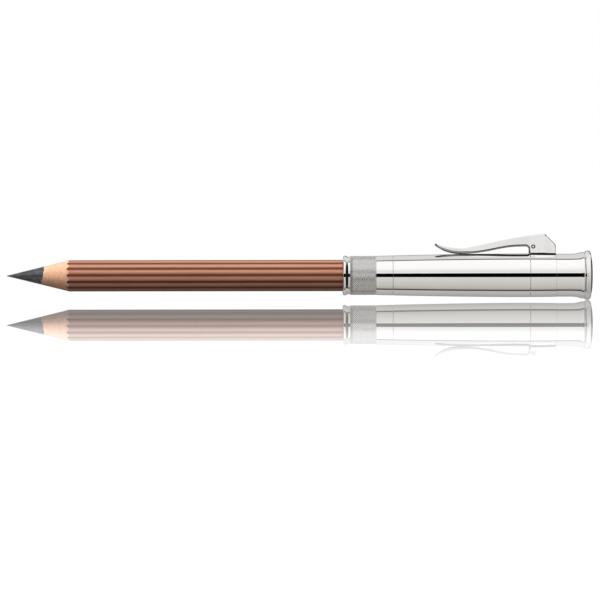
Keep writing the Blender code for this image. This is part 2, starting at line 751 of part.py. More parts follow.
def end_knob(parent):
    plug_r = CORE_REAR_IR - PLUG_CLEARANCE
    tang_r = TANG_R + FIT
    tang_end = X_PLUG + TANG_L + 2 * SEAT
    slot = X_PLUG + PLUG_L / 2
    slot_r = plug_r + O_RING_PROUD - 2 * O_RING_R - FIT
    keeper_r = CORE_REAR_OR + FIT + KEEPER_WALL + FIT
    keeper_end = X_CORE_REAR + SEAT
    shoulder = X_KNOB + SEAM / 2
    flare = [i / ARC_STEPS for i in range(1, ARC_STEPS + 1)]
    lip_r = NECK_R + FLARE_RISE
    cove_r = lip_r - COVE_DEPTH
    cove_x = X_LIP + LIP_W + COVE_W / 2
    start = 180 - math.degrees(math.asin((cove_r - BEAD_CENTRE) / BEAD_R))
    rim_r = DISC_R + FIT
    floor = X_END - DISC_DEPTH
    profile = [
        (tang_end, 0),
        (tang_end, tang_r),
        (X_PLUG, tang_r),
        (X_PLUG, plug_r),
        (slot - O_RING_SLOT_W / 2, plug_r),
        (slot - O_RING_SLOT_W / 2, slot_r),
        (slot + O_RING_SLOT_W / 2, slot_r),
        (slot + O_RING_SLOT_W / 2, plug_r),
        (keeper_end, plug_r),
        (keeper_end, keeper_r),
        (shoulder, keeper_r),
        (shoulder, NECK_R),
        (X_FLARE, NECK_R),
        *[(X_FLARE + FLARE_L * t, NECK_R + FLARE_RISE * t * t) for t in flare],
        (X_LIP + LIP_W, lip_r),
        (cove_x, cove_r),
        *arc(X_BEAD, BEAD_CENTRE, BEAD_R, BEAD_R, start, 90)[:-1],
        *arc(X_BEAD, BEAD_CENTRE, BEAD_R, BEAD_R, 90, 0),
        (X_END, rim_r),
        (floor, rim_r),
        (floor, 0),
    ]
    finish(turned("end_knob", profile, parent, closed=False), (0.8, 0.79, 0.77), 1.0, 0.06)


def end_disc(parent):
    floor = X_END - DISC_DEPTH + SEAT
    fall = DISC_R - DISC_LAND_R
    dome = [i / ARC_STEPS for i in range(ARC_STEPS + 1)]
    profile = [
        (floor, 0),
        (floor, DISC_R),
        *[(X_END + DISC_DOME * (1 - (1 - t) ** 2), DISC_R - fall * t) for t in dome],
        (X_LAND, 0),
    ]
    finish(turned("end_disc", profile, parent, closed=False), (0.8, 0.79, 0.77), 1.0, 0.1)


def friction_ring(parent):
    middle = CORE_REAR_IR - PLUG_CLEARANCE + O_RING_PROUD - O_RING_R
    x = X_PLUG + PLUG_L / 2
    section = [2 * math.pi * i / 8 for i in range(8)]
    profile = [(x - O_RING_R * math.cos(a), middle + O_RING_R * math.sin(a)) for a in section]
    finish(turned("friction_ring", profile, parent, closed=True), (0.02, 0.02, 0.02), 0.0, 0.6)


def sharpener_body(parent, seat):
    tang_end = X_SHARPENER_REAR + TANG_L
    profile = [
        (X_CONE_APEX, 0),
        (X_CONE_MOUTH, ENTRY_R),
        (X_SHARPENER_FRONT, ENTRY_R),
        (X_SHARPENER_FRONT, SHARPENER_R),
        (X_SHARPENER_REAR, SHARPENER_R),
        (X_SHARPENER_REAR, TANG_R),
        (tang_end, TANG_R),
        (tang_end, 0),
    ]
    ob = turned("sharpener_body", profile, parent, closed=False)
    reach = (X_CONE_APEX - X_SHARPENER_FRONT) / math.cos(POINT_HALF_ANGLE)
    wide = SHARPENER_R + OVERCUT
    flat = block("blade_flat", seat, (-reach - wide, -wide, 0), (SEAT_END, wide, 2 * wide))
    boolean(ob, as_cutter(flat), "DIFFERENCE")
    depth = SCREW_L + SEAT
    hole = rod(
        "screw_hole", seat, SCREW_R + FIT, 2 * depth, 12, location=(-SCREW_BACK, -SCREW_ASIDE, 0)
    )
    boolean(ob, as_cutter(hole), "DIFFERENCE")
    finish(ob, (0.05, 0.05, 0.055), 0.0, 0.45)


def sharpener_blade(seat):
    far = BLADE_NEAR + BLADE_CUT_L
    points = [
        (-BLADE_NEAR, 0),
        (-far, 0),
        (-far, BLADE_CLIP_W - BLADE_W),
        (BLADE_CLIP_L - far, -BLADE_W),
        (-BLADE_NEAR, -BLADE_W),
    ]
    ob = outline_solid("sharpener_blade", seat, points, BLADE_T)
    for vert in ob.data.vertices:
        if vert.co.y > -BLADE_GRIND and vert.co.z > 0:
            vert.co.y -= BLADE_GRIND
    ob.location.z = SEAT + BLADE_T / 2
    hole = rod(
        "blade_hole", seat, SCREW_R + FIT, BLADE_T + 2 * OVERCUT, 12,
        location=(-SCREW_BACK, -SCREW_ASIDE, 0),
    )
    boolean(ob, as_cutter(hole), "DIFFERENCE")
    finish(ob, (0.6, 0.61, 0.63), 1.0, 0.25)


def blade_screw(seat):
    under = 2 * SEAT + BLADE_T
    top = under + SCREW_HEAD_H
    profile = [
        (-SCREW_L, 0),
        (-SCREW_L, SCREW_R),
        (under, SCREW_R),
        (under, SCREW_HEAD_R),
        (under + SCREW_HEAD_H / 2, SCREW_HEAD_R),
        (top, SCREW_HEAD_R - SCREW_HEAD_H / 2),
        (top, 0),
    ]
    ob = turned("blade_screw", profile, seat, closed=False, steps=16)
    ob.rotation_euler = (0, 0, 0)
    ob.location = (-SCREW_BACK, -SCREW_ASIDE, 0)
    slot = block(
        "screw_slot",
        seat,
        (-SCREW_HEAD_R - OVERCUT, -SCREW_SLOT_W / 2, top - SCREW_SLOT_D),
        (SCREW_HEAD_R + OVERCUT, SCREW_SLOT_W / 2, top + OVERCUT),
    )
    slot.location = ob.location
    boolean(ob, as_cutter(slot), "DIFFERENCE")
    finish(ob, (0.55, 0.55, 0.56), 1.0, 0.3)


def build():
    axis = empty("cap_axis", location=(-X_MIDDLE, 0, BEAD_CREST * FLAT))
    pencil_axis = empty("pencil_axis", axis, rotation=(-FLUTE_TURN, 0, 0))
    eraser_axis = empty("eraser_cap_axis", pencil_axis)
    knob_axis = empty("knob_axis", axis, rotation=(SHARPENER_TURN, 0, 0))
    pivot = empty("clip_pivot", axis, (X_PIVOT, 0, Z_PIVOT))
    sine = math.sin(POINT_HALF_ANGLE)
    cosine = math.cos(POINT_HALF_ANGLE)
    foot = (X_CONE_APEX - BLADE_BITE * sine, 0, -BLADE_BITE * cosine)
    seat = empty("blade_seat", knob_axis, foot, (0, POINT_HALF_ANGLE, 0))

    graphite_lead(pencil_axis)
    envelope = pencil_envelope(pencil_axis)
    slat("cedar_slat_upper", pencil_axis, 1, envelope)
    slat("cedar_slat_lower", pencil_axis, -1, envelope)
    eraser_ferrule(pencil_axis)
    eraser(pencil_axis)
    eraser_cap(eraser_axis)

    core_tube(axis)
    grip_collet(axis)
    mouth_ring(axis)
    knurled_sleeve(axis)
    plain_band(axis)
    barrel(axis)
    clip_ring(axis, pivot)
    ring_keeper(axis)
    clip_pin(pivot)
    clip_spring(axis)
    clip_lever(pivot)

    end_knob(axis)
    end_disc(axis)
    friction_ring(axis)
    sharpener_body(knob_axis, seat)
    sharpener_blade(seat)
    blade_screw(seat)


build()
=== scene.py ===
"""Looks of the fluted pencil in its plated extender cap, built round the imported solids.

Metres, +Z up, in the frame of the solids: the pencil lies along X with its point towards -X, and the
camera looks along +Y. Turned pieces are round where the solids have facets, and the knurl, the reeds, the
cut point and the clip have their full forms here.
"""

import math

import bmesh
import bpy
from mathutils import Matrix, Vector
from mathutils.geometry import interpolate_bezier


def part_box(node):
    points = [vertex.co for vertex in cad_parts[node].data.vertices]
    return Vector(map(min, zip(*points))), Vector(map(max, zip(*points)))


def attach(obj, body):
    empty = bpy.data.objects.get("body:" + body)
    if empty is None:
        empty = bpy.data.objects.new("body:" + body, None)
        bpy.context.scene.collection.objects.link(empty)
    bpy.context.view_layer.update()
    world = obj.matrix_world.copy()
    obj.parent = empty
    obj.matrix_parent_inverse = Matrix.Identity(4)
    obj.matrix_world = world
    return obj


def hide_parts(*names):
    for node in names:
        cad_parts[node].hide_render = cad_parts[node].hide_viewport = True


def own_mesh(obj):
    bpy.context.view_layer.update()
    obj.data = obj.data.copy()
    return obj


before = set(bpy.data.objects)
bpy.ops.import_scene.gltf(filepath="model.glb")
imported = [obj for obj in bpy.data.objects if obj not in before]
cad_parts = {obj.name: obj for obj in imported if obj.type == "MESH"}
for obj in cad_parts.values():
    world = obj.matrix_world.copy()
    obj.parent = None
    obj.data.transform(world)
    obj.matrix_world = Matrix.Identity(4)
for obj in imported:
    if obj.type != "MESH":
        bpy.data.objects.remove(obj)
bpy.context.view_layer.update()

MM = 0.001

# Sizes that the solids' boxes don't give
PENCIL_R = 4.70 * MM
FLUTES = 14
FLUTE_DEPTH = 0.21 * MM
FLUTE_TURN = math.radians(1.5)
FLUTE_SOFT = 0.10
LEAD_R = 2.75 * MM
LEAD_LEAN = 0.13 * MM
LEAD_RIPPLE = 0.055 * MM
CUT_RIPPLE = 0.05 * MM
LEAD_RIPPLE_SHIFT = 0.4
CUT_RIPPLE_SHIFT = 1.1
RIPPLE_WAVES = ((3, 0.45), (7, 0.30), (13, 0.25))
POINT_HALF_ANGLE = math.radians(13.8)
TIP_R = 0.06 * MM
SPIGOT_L = 4.0 * MM
SEAM = 0.04 * MM
SEAM_EDGE = 0.125 * MM
FAINT_EDGE = 0.03 * MM
FIT = 0.04 * MM
SEAT = 0.05 * MM

MOUTH_R = 4.82 * MM
MOUTH_CREST_R = 6.00 * MM
MOUTH_NOSE_L = 0.50 * MM
MOUTH_NOSE_DROP = 0.85 * MM
MOUTH_CREST_END = 0.55 * MM
MOUTH_BACK_L = 1.30 * MM
MOUTH_GROOVE_R = 5.58 * MM
MOUTH_GROOVE_RISE = 0.10 * MM
SPIGOT_R = 5.10 * MM
SLEEVE_IR = 5.48 * MM
KNURL_R = 5.85 * MM
KNURL_COUNT = 54
KNURL_DEPTH = 0.055 * MM
KNURL_FLAT = 0.15
KNURL_EDGE = 0.16 * MM
KNURL_CELL = 6
KNURL_SHARP = math.radians(20)
BAND_R = 5.88 * MM
BARREL_R = 6.57 * MM
BARREL_IR = 5.94 * MM
BARREL_SWELL = 1.75
BARREL_STEP_X = 25.7 * MM
BARREL_STEP_L = 1.6 * MM
RING_REAR_R = 6.50 * MM
CORE_FRONT_OR = 5.44 * MM
CORE_REAR_OR = 5.90 * MM
CORE_WALL = 0.30 * MM
CORE_STEP_X = 26.0 * MM
KEEPER_WALL = 0.20 * MM

PIVOT_SETBACK = 0.95 * MM
LUG_W = 2.1 * MM
PIN_R = 0.55 * MM
PIN_HEAD_R = 0.29 * MM
# radius on the pin's head beyond which its rim gets painted shade
PIN_SHADE_R = 0.9 * PIN_HEAD_R
PIN_SINK = 0.12 * MM
PIN_RING_R = 0.64 * MM
CLIP_W = 3.8 * MM
CLIP_TIP_W = 3.2 * MM
CLIP_TIP_ROUND = 1.1 * MM
CLIP_DRAFT = math.radians(8.0)
CLIP_TOP_ROUND = 0.16 * MM
CLIP_FOOT_ROUND = (0.03 * MM, 0.03 * MM)
CLIP_BAR_ROUND = (0.40 * MM, 0.52 * MM)
CLIP_BAR_STRIP = 0.10 * MM
CLIP_BACK_ROUND = 1.00 * MM
FOOT_SHARE = 0.5
TOP_SHARE = 0.45
NOSE_FADE = (-23.0 * MM, -17.0 * MM)
NOSE_DRAFT = math.radians(9.7)
NOSE_BEVEL_H = 0.90 * MM
NOSE_BEVEL_SHARE = 0.60
NOSE_BEVEL_W = 0.60
NOSE_KNEE = 0.36
HOUSE_FRONT = 1.27 * MM
HOUSE_FRONT_ROUND = 0.60 * MM
FRONT_FADE = 0.9 * MM
SIDE_SHARES = (0.04, 0.12, 0.25, 0.36, 0.46, 0.56, 0.70, 0.85, 0.96)
CLIP_REACH = 29.5 * MM
CLIP_NOSE_R = 0.40 * MM
CLIP_TIP_RISE = 2.55 * MM
CLIP_BEARING = 21.3 * MM
CLIP_GAP = 0.30 * MM
CLIP_BAR_H = 1.38 * MM
SOLE_X = 21.8 * MM
SOLE_DROP = 0.28 * MM
ARCH_BACK = 3.60 * MM
ARCH_RISE = 1.90 * MM
HOLLOW_FRONT = 2.95 * MM
HOUSE_TOP = 3.90 * MM
HOUSE_CORNER = 3.45 * MM
HOUSE_SLANT_DROP = 2.84 * MM
HOUSE_CHAMFER = 0.47 * MM
HOUSE_TAIL_GAP = 0.07 * MM
HOUSE_FLOOR = -2.01 * MM
HOUSE_FRONT_H = 0.90 * MM
HOUSE_WALL = 0.75 * MM
HOUSE_ROOF = 1.30 * MM
TAIL_RELIEF = 0.66 * MM
SEAT_PAD_H = 0.16 * MM
WELL_BACK = 1.6 * MM
WELL_SIDE = 0.06 * MM
WELL_DEPTH = 0.47 * MM
TAIL_ROUND = 0.40 * MM
ROOF_SLOPE = math.radians(6.7)
NOSE_SLOPE = math.radians(35.0)
ROOF_PULL = 0.57
BAR_ROOF_PULL = 0.12
BAR_NOSE_PULL = 0.35
NOSE_PULL = 0.20
NOSE_ROUND_PULL = 0.55
SOLE_SLOPE = math.radians(38.0)
SOLE_PULL = 2.6 * MM
SOLE_TILT = math.radians(0.76)
SOLE_SHADE = 0.28 * MM
SOLE_NOSE_PULL = 3.0 * MM
BEARING_ARCH_PULL = 0.488
ARCH_PULL = 0.37
ARCH_CORNER_PULL = 0.60
SPRING_R = 0.75 * MM
SPRING_WIRE_R = 0.15 * MM
SPRING_TURNS = 4
SPRING_POINTS = 20

NECK_R = 6.45 * MM
NECK_L = 4.6 * MM
FLARE_L = 3.0 * MM
FLARE_RISE = 0.53 * MM
LIP_W = 0.66 * MM
COVE_W = 0.14 * MM
COVE_DEPTH = 0.27 * MM
BEAD_R = 0.95 * MM
BEAD_HALF_W = 1.08 * MM
DISC_R = 6.2 * MM
DISC_DEPTH = 0.85 * MM
DISC_DOME = 0.42 * MM
DISC_LAND_R = 3.3 * MM
PLUG_L = 4.0 * MM
PLUG_R = 5.54 * MM
O_RING_R = 0.27 * MM
O_RING_SLOT_W = 0.70 * MM
O_RING_SLOT_R = 4.98 * MM
TANG_R = 2.5 * MM
TANG_L = 5.0 * MM

SHARPENER_R = 5.35 * MM
ENTRY_R = 4.80 * MM
SHARPENER_COLLAR = 2.0 * MM
SHARPENER_TURN = math.radians(40.0)
BLADE_BITE = 0.30 * MM
SEAT_END = 0.4 * MM
SCREW_BACK = 4.2 * MM
SCREW_ASIDE = 2.0 * MM
SCREW_R = 0.55 * MM
SCREW_L = 2.6 * MM

ERASER_R = 3.87 * MM
ERASER_ROUND = 0.8 * MM
FERRULE_R = 4.16 * MM
FERRULE_IR = 3.91 * MM
FERRULE_BEAD = 0.05 * MM
FERRULE_BEAD_W = 0.3 * MM
FERRULE_BEADS = (0.22, 0.34, 0.66, 0.78)
CAP_R = 4.50 * MM
CAP_IR = 4.20 * MM
CAP_ROUND = 0.5 * MM
CAP_GROOVE_X = 1.2 * MM
CAP_GROOVE_W = 0.18 * MM
CAP_GROOVE_DEPTH = 0.09 * MM

# Reach of the rounds on turned corners
FINE_EASE = 0.05 * MM
EASE = 0.1 * MM
BROAD_EASE = 0.2 * MM
RIM_EASE = 0.08 * MM
KEEPER_EASE = 0.06 * MM
LIP_FRONT_EASE = 0.15 * MM
LIP_REAR_EASE = 0.04 * MM
ENTRY_EASE = 0.15 * MM

# Finenesses
TURN_STEPS = 160
ARC_STEPS = 10
FLUTE_STEPS = 24
CONE_ROWS = 14
SHANK_ROWS = 8
EASE_STEPS = 4
HOLD_REACH = 1.4
SECTION_ARC = 10
BEND_STEPS = 20
STATION_STEPS = 12
STATION_GAP = 0.004 * MM
BEAD_STEPS = 8
NIB_STEPS = 4
LUG_STEPS = 24
O_RING_STEPS = 16
ROD_STEPS = 32
PIN_STEPS = 48
SPRING_FACETS = 3
BAND_ROWS = 10
BARREL_ROWS = 40
OVERCUT = 1.0 * MM
MERGE = 1e-7
SHARP_ANGLE = math.radians(28)

# Limits on a face's normal that choose between plain plate and painted shade on the clip
FACES_FRONT = -0.3
FACES_DOWN = -0.5
FACES_ASIDE = 0.3
LEANS_DOWN = -0.15

# The middle of a noise's range
NOISE_LOW = 0.3
NOISE_HIGH = 0.7
DRIFT_SIZE = 2.3
WHITE = (1.0, 1.0, 1.0)


def low(node):
    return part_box(node)[0]


def high(node):
    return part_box(node)[1]


def span(node):
    """Where a solid starts and ends along the pencil."""
    return low(node).x, high(node).x


AXIS_Z = (low("end_knob").z + high("end_knob").z) / 2
X_MOUTH = low("mouth_ring").x
X_TIP = low("graphite_lead").x
X_APEX = X_TIP - TIP_R / math.tan(POINT_HALF_ANGLE)
X_PENCIL_END = high("graphite_lead").x
X_SHOULDER = X_PENCIL_END - SPIGOT_L
X_BAND = low("plain_band").x - SEAM / 2
X_RING = low("clip_ring").x - SEAM / 2
X_KNOB = high("clip_ring").x + SEAM / 2
BEAD_CREST = high("end_knob").z - AXIS_Z
X_PIVOT = X_RING + PIVOT_SETBACK
Z_PIVOT = (low("clip_pin").z + high("clip_pin").z) / 2
PIN_RIM = high("clip_pin").y
PIN_STEP = PIN_RIM - PIN_SINK


# Mesh helpers


def new_object(name, data):
    ob = bpy.data.objects.new(name, data)
    bpy.context.scene.collection.objects.link(ob)
    return ob


def clean_mesh(name, points, faces, marks=None):
    """A welded mesh with its normals outwards; marks gives each face's material index."""
    mesh = bpy.data.meshes.new(name)
    mesh.from_pydata(points, [], faces)
    if marks:
        mesh.polygons.foreach_set("material_index", marks)
    shape = bmesh.new()
    shape.from_mesh(mesh)
    bmesh.ops.remove_doubles(shape, verts=shape.verts, dist=MERGE)
    bmesh.ops.recalc_face_normals(shape, faces=shape.faces)
    shape.to_mesh(mesh)
    shape.free()
    return mesh


def shade(mesh, angle=SHARP_ANGLE):
    """Smooth shading that breaks at steep edges and between materials."""
    mesh.shade_smooth()
    mesh.set_sharp_from_angle(angle=angle)
    shape = bmesh.new()
    shape.from_mesh(mesh)
    for edge in shape.edges:
        if len({face.material_index for face in edge.link_faces}) > 1:
            edge.smooth = False
    shape.to_mesh(mesh)
    shape.free()


def round_the_axis(x, radius, angle):
    """A point about the pencil's axis; angle 0 faces -Y and a quarter turn is up."""
    return (x, -radius * math.cos(angle), AXIS_Z + radius * math.sin(angle))


def swept(name, profile_at, angles, closed, full, zones=None):
    """A mesh of (x, radius) profiles set round the axis.

    closed joins each profile's ends, and full the last profile to the first. zones gives a material index
    for each gap between the profile's points.
    """
    points = []
    rows = 0
    for angle in angles:
        profile = profile_at(angle)
        rows = len(profile)
        points += [round_the_axis(x, radius, angle) for x, radius in profile]
    columns = len(angles)
    faces = []
    marks = []
    for j in range(columns if full else columns - 1):
        here = j * rows
        there = (j + 1) % columns * rows
        for i in range(rows if closed else rows - 1):
            k = (i + 1) % rows
            faces.append((here + i, here + k, there + k, there + i))
            marks.append(zones[i] if zones else 0)
    if not full:
        faces += [tuple(range(rows)), tuple(range((columns - 1) * rows, columns * rows))]
        marks += [zones[-1] if zones else 0] * 2
    return clean_mesh(name, points, faces, marks)


def turn_angles(steps):
    return [2 * math.pi * i / steps for i in range(steps)]


def even_shares(count):
    """Even steps from 0 to 1."""
    return [i / count for i in range(count + 1)]


def quadratic(start, knee, end, t):
    """A point at share t of the curve from start to end that the knee draws to itself."""
    return start * (1 - t) ** 2 + knee * 2 * t * (1 - t) + end * t * t


def turned(name, profile, closed=True, steps=TURN_STEPS):
    """A round piece from its (x, radius) section."""
    mesh = swept(name, lambda angle: profile, turn_angles(steps), closed, full=True)
    shade(mesh)
    return new_object(name, mesh)


def eased(corners):
    """A section with some corners rounded; a corner is (x, radius) or (x, radius, reach of the round)."""
    made = []
    count = len(corners)
    for i, corner in enumerate(corners):
        here = Vector(corner[:2])
        if len(corner) == 2:
            made.append(tuple(here))
            continue
        ends = []
        holds = []
        for other in (corners[i - 1], corners[(i + 1) % count]):
            way = Vector(other[:2]) - here
            reach = min(corner[2], way.length / 3)
            ends.append(here + way.normalized() * reach)
            holds.append(here + way.normalized() * reach * HOLD_REACH)
        made.append(tuple(holds[0]))
        made += [tuple(quadratic(ends[0], here, ends[1], t)) for t in even_shares(EASE_STEPS)]
        made.append(tuple(holds[1]))
    return made


def arc(centre_x, centre_r, half_x, half_r, start, end, steps=ARC_STEPS):
    """Points of an elliptical arc in a section; degrees, 0 to the rear and 90 outwards."""
    angles = [math.radians(start + (end - start) * i / steps) for i in range(steps + 1)]
    return [(centre_x + half_x * math.cos(a), centre_r + half_r * math.sin(a)) for a in angles]


def carved(ob, tools):
    """Applies (tool object, operation) Booleans in turn, and removes the tools."""
    for tool, operation in tools:
        cut = ob.modifiers.new(tool.name, "BOOLEAN")
        cut.object = tool
        cut.operation = operation
        cut.solver = "EXACT"
    bpy.context.view_layer.update()
    evaluated = ob.evaluated_get(bpy.context.evaluated_depsgraph_get())
    ob.data = bpy.data.meshes.new_from_object(evaluated)
    ob.modifiers.clear()
    for tool, _ in tools:
        bpy.data.objects.remove(tool)
    shade(ob.data)
    return ob


def block(name, low_corner, high_corner):
    points = []
    for x in (low_corner[0], high_corner[0]):
        for y in (low_corner[1], high_corner[1]):
            for z in (low_corner[2], high_corner[2]):
                points.append((x, y, z))
    faces = [(0, 1, 3, 2), (4, 6, 7, 5), (0, 4, 5, 1), (2, 3, 7, 6), (0, 2, 6, 4), (1, 5, 7, 3)]
    return new_object(name, clean_mesh(name, points, faces))


def joined_rings(count, ring):
    """Quads between each of the rings of points and the next."""
    faces = []
    for i in range(count - 1):
        for j in range(ring):
            k = (j + 1) % ring
            faces.append((i * ring + j, i * ring + k, (i + 1) * ring + k, (i + 1) * ring + j))
    return faces


def spun(name, section, matrix, steps):
    """A piece turned about its own local Z from (z, radius) points, then placed by a matrix."""
    points = []
    for z, radius in section:
        for angle in turn_angles(steps):
            points.append(matrix @ Vector((radius * math.cos(angle), radius * math.sin(angle), z)))
    mesh = clean_mesh(name, points, joined_rings(len(section), steps))
    shade(mesh)
    return new_object(name, mesh)


def mirrored(half):
    """A (z, radius) section from the half of it below z = 0."""
    return half + [(-z, radius) for z, radius in reversed(half)]


def rod(name, half_length, radius, matrix):
    """A round bar along the matrix's local Z."""
    return spun(name, mirrored([(-half_length, 0), (-half_length, radius)]), matrix, ROD_STEPS)


def prism(name, outline, half_width):
    """A solid of that width across Y from an (x, z) outline."""
    count = len(outline)
    points = [(x, -half_width, z) for x, z in outline] + [(x, half_width, z) for x, z in outline]
    faces = [tuple(range(count)), tuple(range(2 * count - 1, count - 1, -1))]
    faces += [(i, (i + 1) % count, (i + 1) % count + count, i + count) for i in range(count)]
    return new_object(name, clean_mesh(name, points, faces))


# Material helpers


def socket(owner, kind, values=None, links=None, output=0, **settings):
    """An output of a new node in a material or world, with its values set and its sources linked."""
    node = owner.node_tree.nodes.new("ShaderNode" + kind)
    for key, value in settings.items():
        setattr(node, key, value)
    for name, value in (values or {}).items():
        node.inputs[name].default_value = value
    for name, source in (links or {}).items():
        owner.node_tree.links.new(source, node.inputs[name])
    return node.outputs[output]


def shader_of(made):
    return made.node_tree.nodes["Principled BSDF"]


def material(name, **values):
    """A Principled material with some values set; what varies over the surface is linked later."""
    made = bpy.data.materials.new(name)
    made.use_nodes = True
    for key, value in values.items():
        shader_of(made).inputs[key.replace("_", " ")].default_value = value
    return made


def noise(made, size, stretch=(1, 1, 1), detail=3.0, shift=0.0):
    """Noise with marks of about this size in metres, drawn out along each axis by its stretch."""
    place = socket(made, "TexCoord", output="Object")
    values = {"Location": (shift, shift, shift), "Scale": [1 / (size * s) for s in stretch]}
    place = socket(made, "Mapping", values, {"Vector": place})
    return socket(made, "TexNoise", {"Scale": 1.0, "Detail": detail}, {"Vector": place})


def ramp(owner, factor, stops):
    """Colours along a factor; stops are (place, colour)."""
    made = socket(owner, "ValToRGB", links={"Fac": factor})
    elements = made.node.color_ramp.elements
    while len(elements) < len(stops):
        elements.new(1.0)
    for element, (place, colour) in zip(elements, stops):
        element.position = place
        element.color = (*colour, 1.0)
    return made


def spread(owner, factor, start=0.0, end=1.0, inside=(NOISE_LOW, NOISE_HIGH)):
    """A number that runs from start to end as the factor crosses the stretch inside."""
    values = {"From Min": inside[0], "From Max": inside[1], "To Min": start, "To Max": end}
    return socket(owner, "MapRange", values, {"Value": factor})


def multiplied(owner, first, second):
    """The product of two colours."""
    links = {"A": first, "B": second}
    return socket(owner, "Mix", {"Factor": 1.0}, links, "Result", data_type="RGBA", blend_type="MULTIPLY")


def carried(made, name):
    """A number that the mesh carries at its points."""
    return socket(made, "Attribute", output="Fac", attribute_name=name)


def feed(made, name, source):
    made.node_tree.links.new(source, shader_of(made).inputs[name])


def bump(made, height, depth):
    """Fine relief of about this depth in metres, on top of any that is there."""
    links = {"Height": height}
    below = shader_of(made).inputs["Normal"].links
    if below:
        links["Normal"] = below[0].from_socket
    feed(made, "Normal", socket(made, "Bump", {"Strength": 1.0, "Distance": depth}, links))


def metal(name, colour, roughness, spread_of, size, stretch=(1, 1, 1), *, tone):
    """Metal whose shine and tone drift a little over the surface, as handling leaves it."""
    made = material(name, Metallic=1.0)
    shine = noise(made, size, stretch)
    feed(made, "Roughness", spread(made, shine, roughness, roughness + spread_of))
    dull = [c * (1 - tone) for c in colour]
    drift = noise(made, DRIFT_SIZE * size, stretch, shift=3.1)
    feed(made, "Base Color", ramp(made, drift, [(NOISE_LOW, dull), (NOISE_HIGH, colour)]))
    return made


def lacquer():
    """Brown satin lacquer, lighter on the reeds and darker between them; the dark in the valleys is partly
    painted shade in the grooves and partly lacquer pooled there.
    """
    made = material("brown_lacquer", Metallic=0.14, Specular_IOR_Level=0.25)
    # the reed ramp paints shade into the valleys between the reeds, partly standing for lacquer pooled
    # there
    body = ramp(
        made,
        carried(made, "reed"),
        [
            (0.0, (0.125, 0.031, 0.013)),
            (0.36, (0.182, 0.057, 0.029)),
            (0.74, (0.43, 0.196, 0.121)),
            (1.0, (0.53, 0.258, 0.172)),
        ],
    )
    veil = noise(made, 0.35 * MM, (60, 1, 1))
    streak = ramp(made, veil, [(NOISE_LOW, (0.86, 0.84, 0.83)), (NOISE_HIGH, WHITE)])
    feed(made, "Base Color", multiplied(made, body, streak))
    feed(made, "Roughness", spread(made, noise(made, 0.8 * MM, (10, 1, 1), shift=1.7), 0.32, 0.42))
    bump(made, noise(made, 0.5 * MM, (4, 1, 1), shift=5.0), 0.004 * MM)
    return made


def cedar():
    """Bare incense cedar on the cut point: grain along X, pink and straw tones, and the blade's marks."""
    made = material("bare_cedar")
    grain = ramp(
        made,
        noise(made, 0.22 * MM, (16, 1, 1), detail=5.0),
        [
            (0.28, (0.68, 0.345, 0.20)),
            (0.45, (0.83, 0.475, 0.31)),
            (0.60, (0.90, 0.55, 0.38)),
            (0.78, (0.95, 0.62, 0.46)),
        ],
    )
    patch = ramp(
        made,
        noise(made, 2.2 * MM, (2, 1, 1), shift=2.0),
        [(0.35, (0.95, 0.86, 0.80)), (0.5, WHITE), (0.68, (1.0, 0.93, 0.80))],
    )
    feed(made, "Base Color", multiplied(made, grain, patch))
    feed(made, "Roughness", spread(made, noise(made, 0.3 * MM, (6, 1, 1)), 0.62, 0.82))
    bump(made, noise(made, 0.16 * MM, (12, 1, 1), detail=4.0), 0.03 * MM)
    bump(made, noise(made, 0.25 * MM, (0.5, 4, 4), shift=7.0), 0.02 * MM)
    return made


def graphite():
    """Sharpened graphite: a dull metallic sheen with the blade's scrape marks."""
    made = material("graphite", Metallic=0.7, Specular_IOR_Level=0.2)
    tone = ramp(
        made,
        noise(made, 0.7 * MM, (3, 1, 1), detail=4.0),
        [(0.3, (0.082, 0.082, 0.084)), (0.5, (0.118, 0.118, 0.120)), (0.72, (0.172, 0.172, 0.174))],
    )
    feed(made, "Base Color", tone)
    feed(made, "Roughness", spread(made, noise(made, 0.4 * MM, (4, 1, 1), shift=4.0), 0.22, 0.32))
    bump(made, noise(made, 0.12 * MM, (8, 1, 1), detail=4.0, shift=1.0), 0.010 * MM)
    bump(made, noise(made, 0.2 * MM, (0.6, 4, 4), shift=6.0), 0.008 * MM)
    return made


def knurled():
    """Plated knurl: bright on the points of its teeth, and darker down into the grooves as painted shade.
    """
    made = material("knurled_plate", Metallic=1.0)
    # the tooth ramp paints shade into the grooves between the teeth
    tone = ramp(
        made,
        carried(made, "tooth"),
        [(0.0, (0.20, 0.195, 0.19)), (0.45, (0.90, 0.89, 0.87)), (1.0, (1.0, 0.99, 0.97))],
    )
    film = ramp(made, noise(made, 0.9 * MM), [(NOISE_LOW, (0.93, 0.93, 0.92)), (NOISE_HIGH, WHITE)])
    feed(made, "Base Color", multiplied(made, tone, film))
    feed(made, "Roughness", spread(made, noise(made, 0.5 * MM, shift=2.0), 0.28, 0.38))
    return made


def moulded(name, colour, roughness, grain=0.12 * MM, depth=0.006 * MM):
    """Moulded plastic or rubber with a fine grain."""
    made = material(name)
    worn = [min(1.0, c * 1.25 + 0.004) for c in colour]
    feed(made, "Base Color", ramp(made, noise(made, 1.5 * MM, detail=4.0), [(0.35, colour), (0.75, worn)]))
    rub = noise(made, 0.6 * MM, shift=2.0)
    feed(made, "Roughness", spread(made, rub, roughness - 0.05, roughness + 0.08))
    bump(made, noise(made, grain, detail=2.0), depth)
    return made


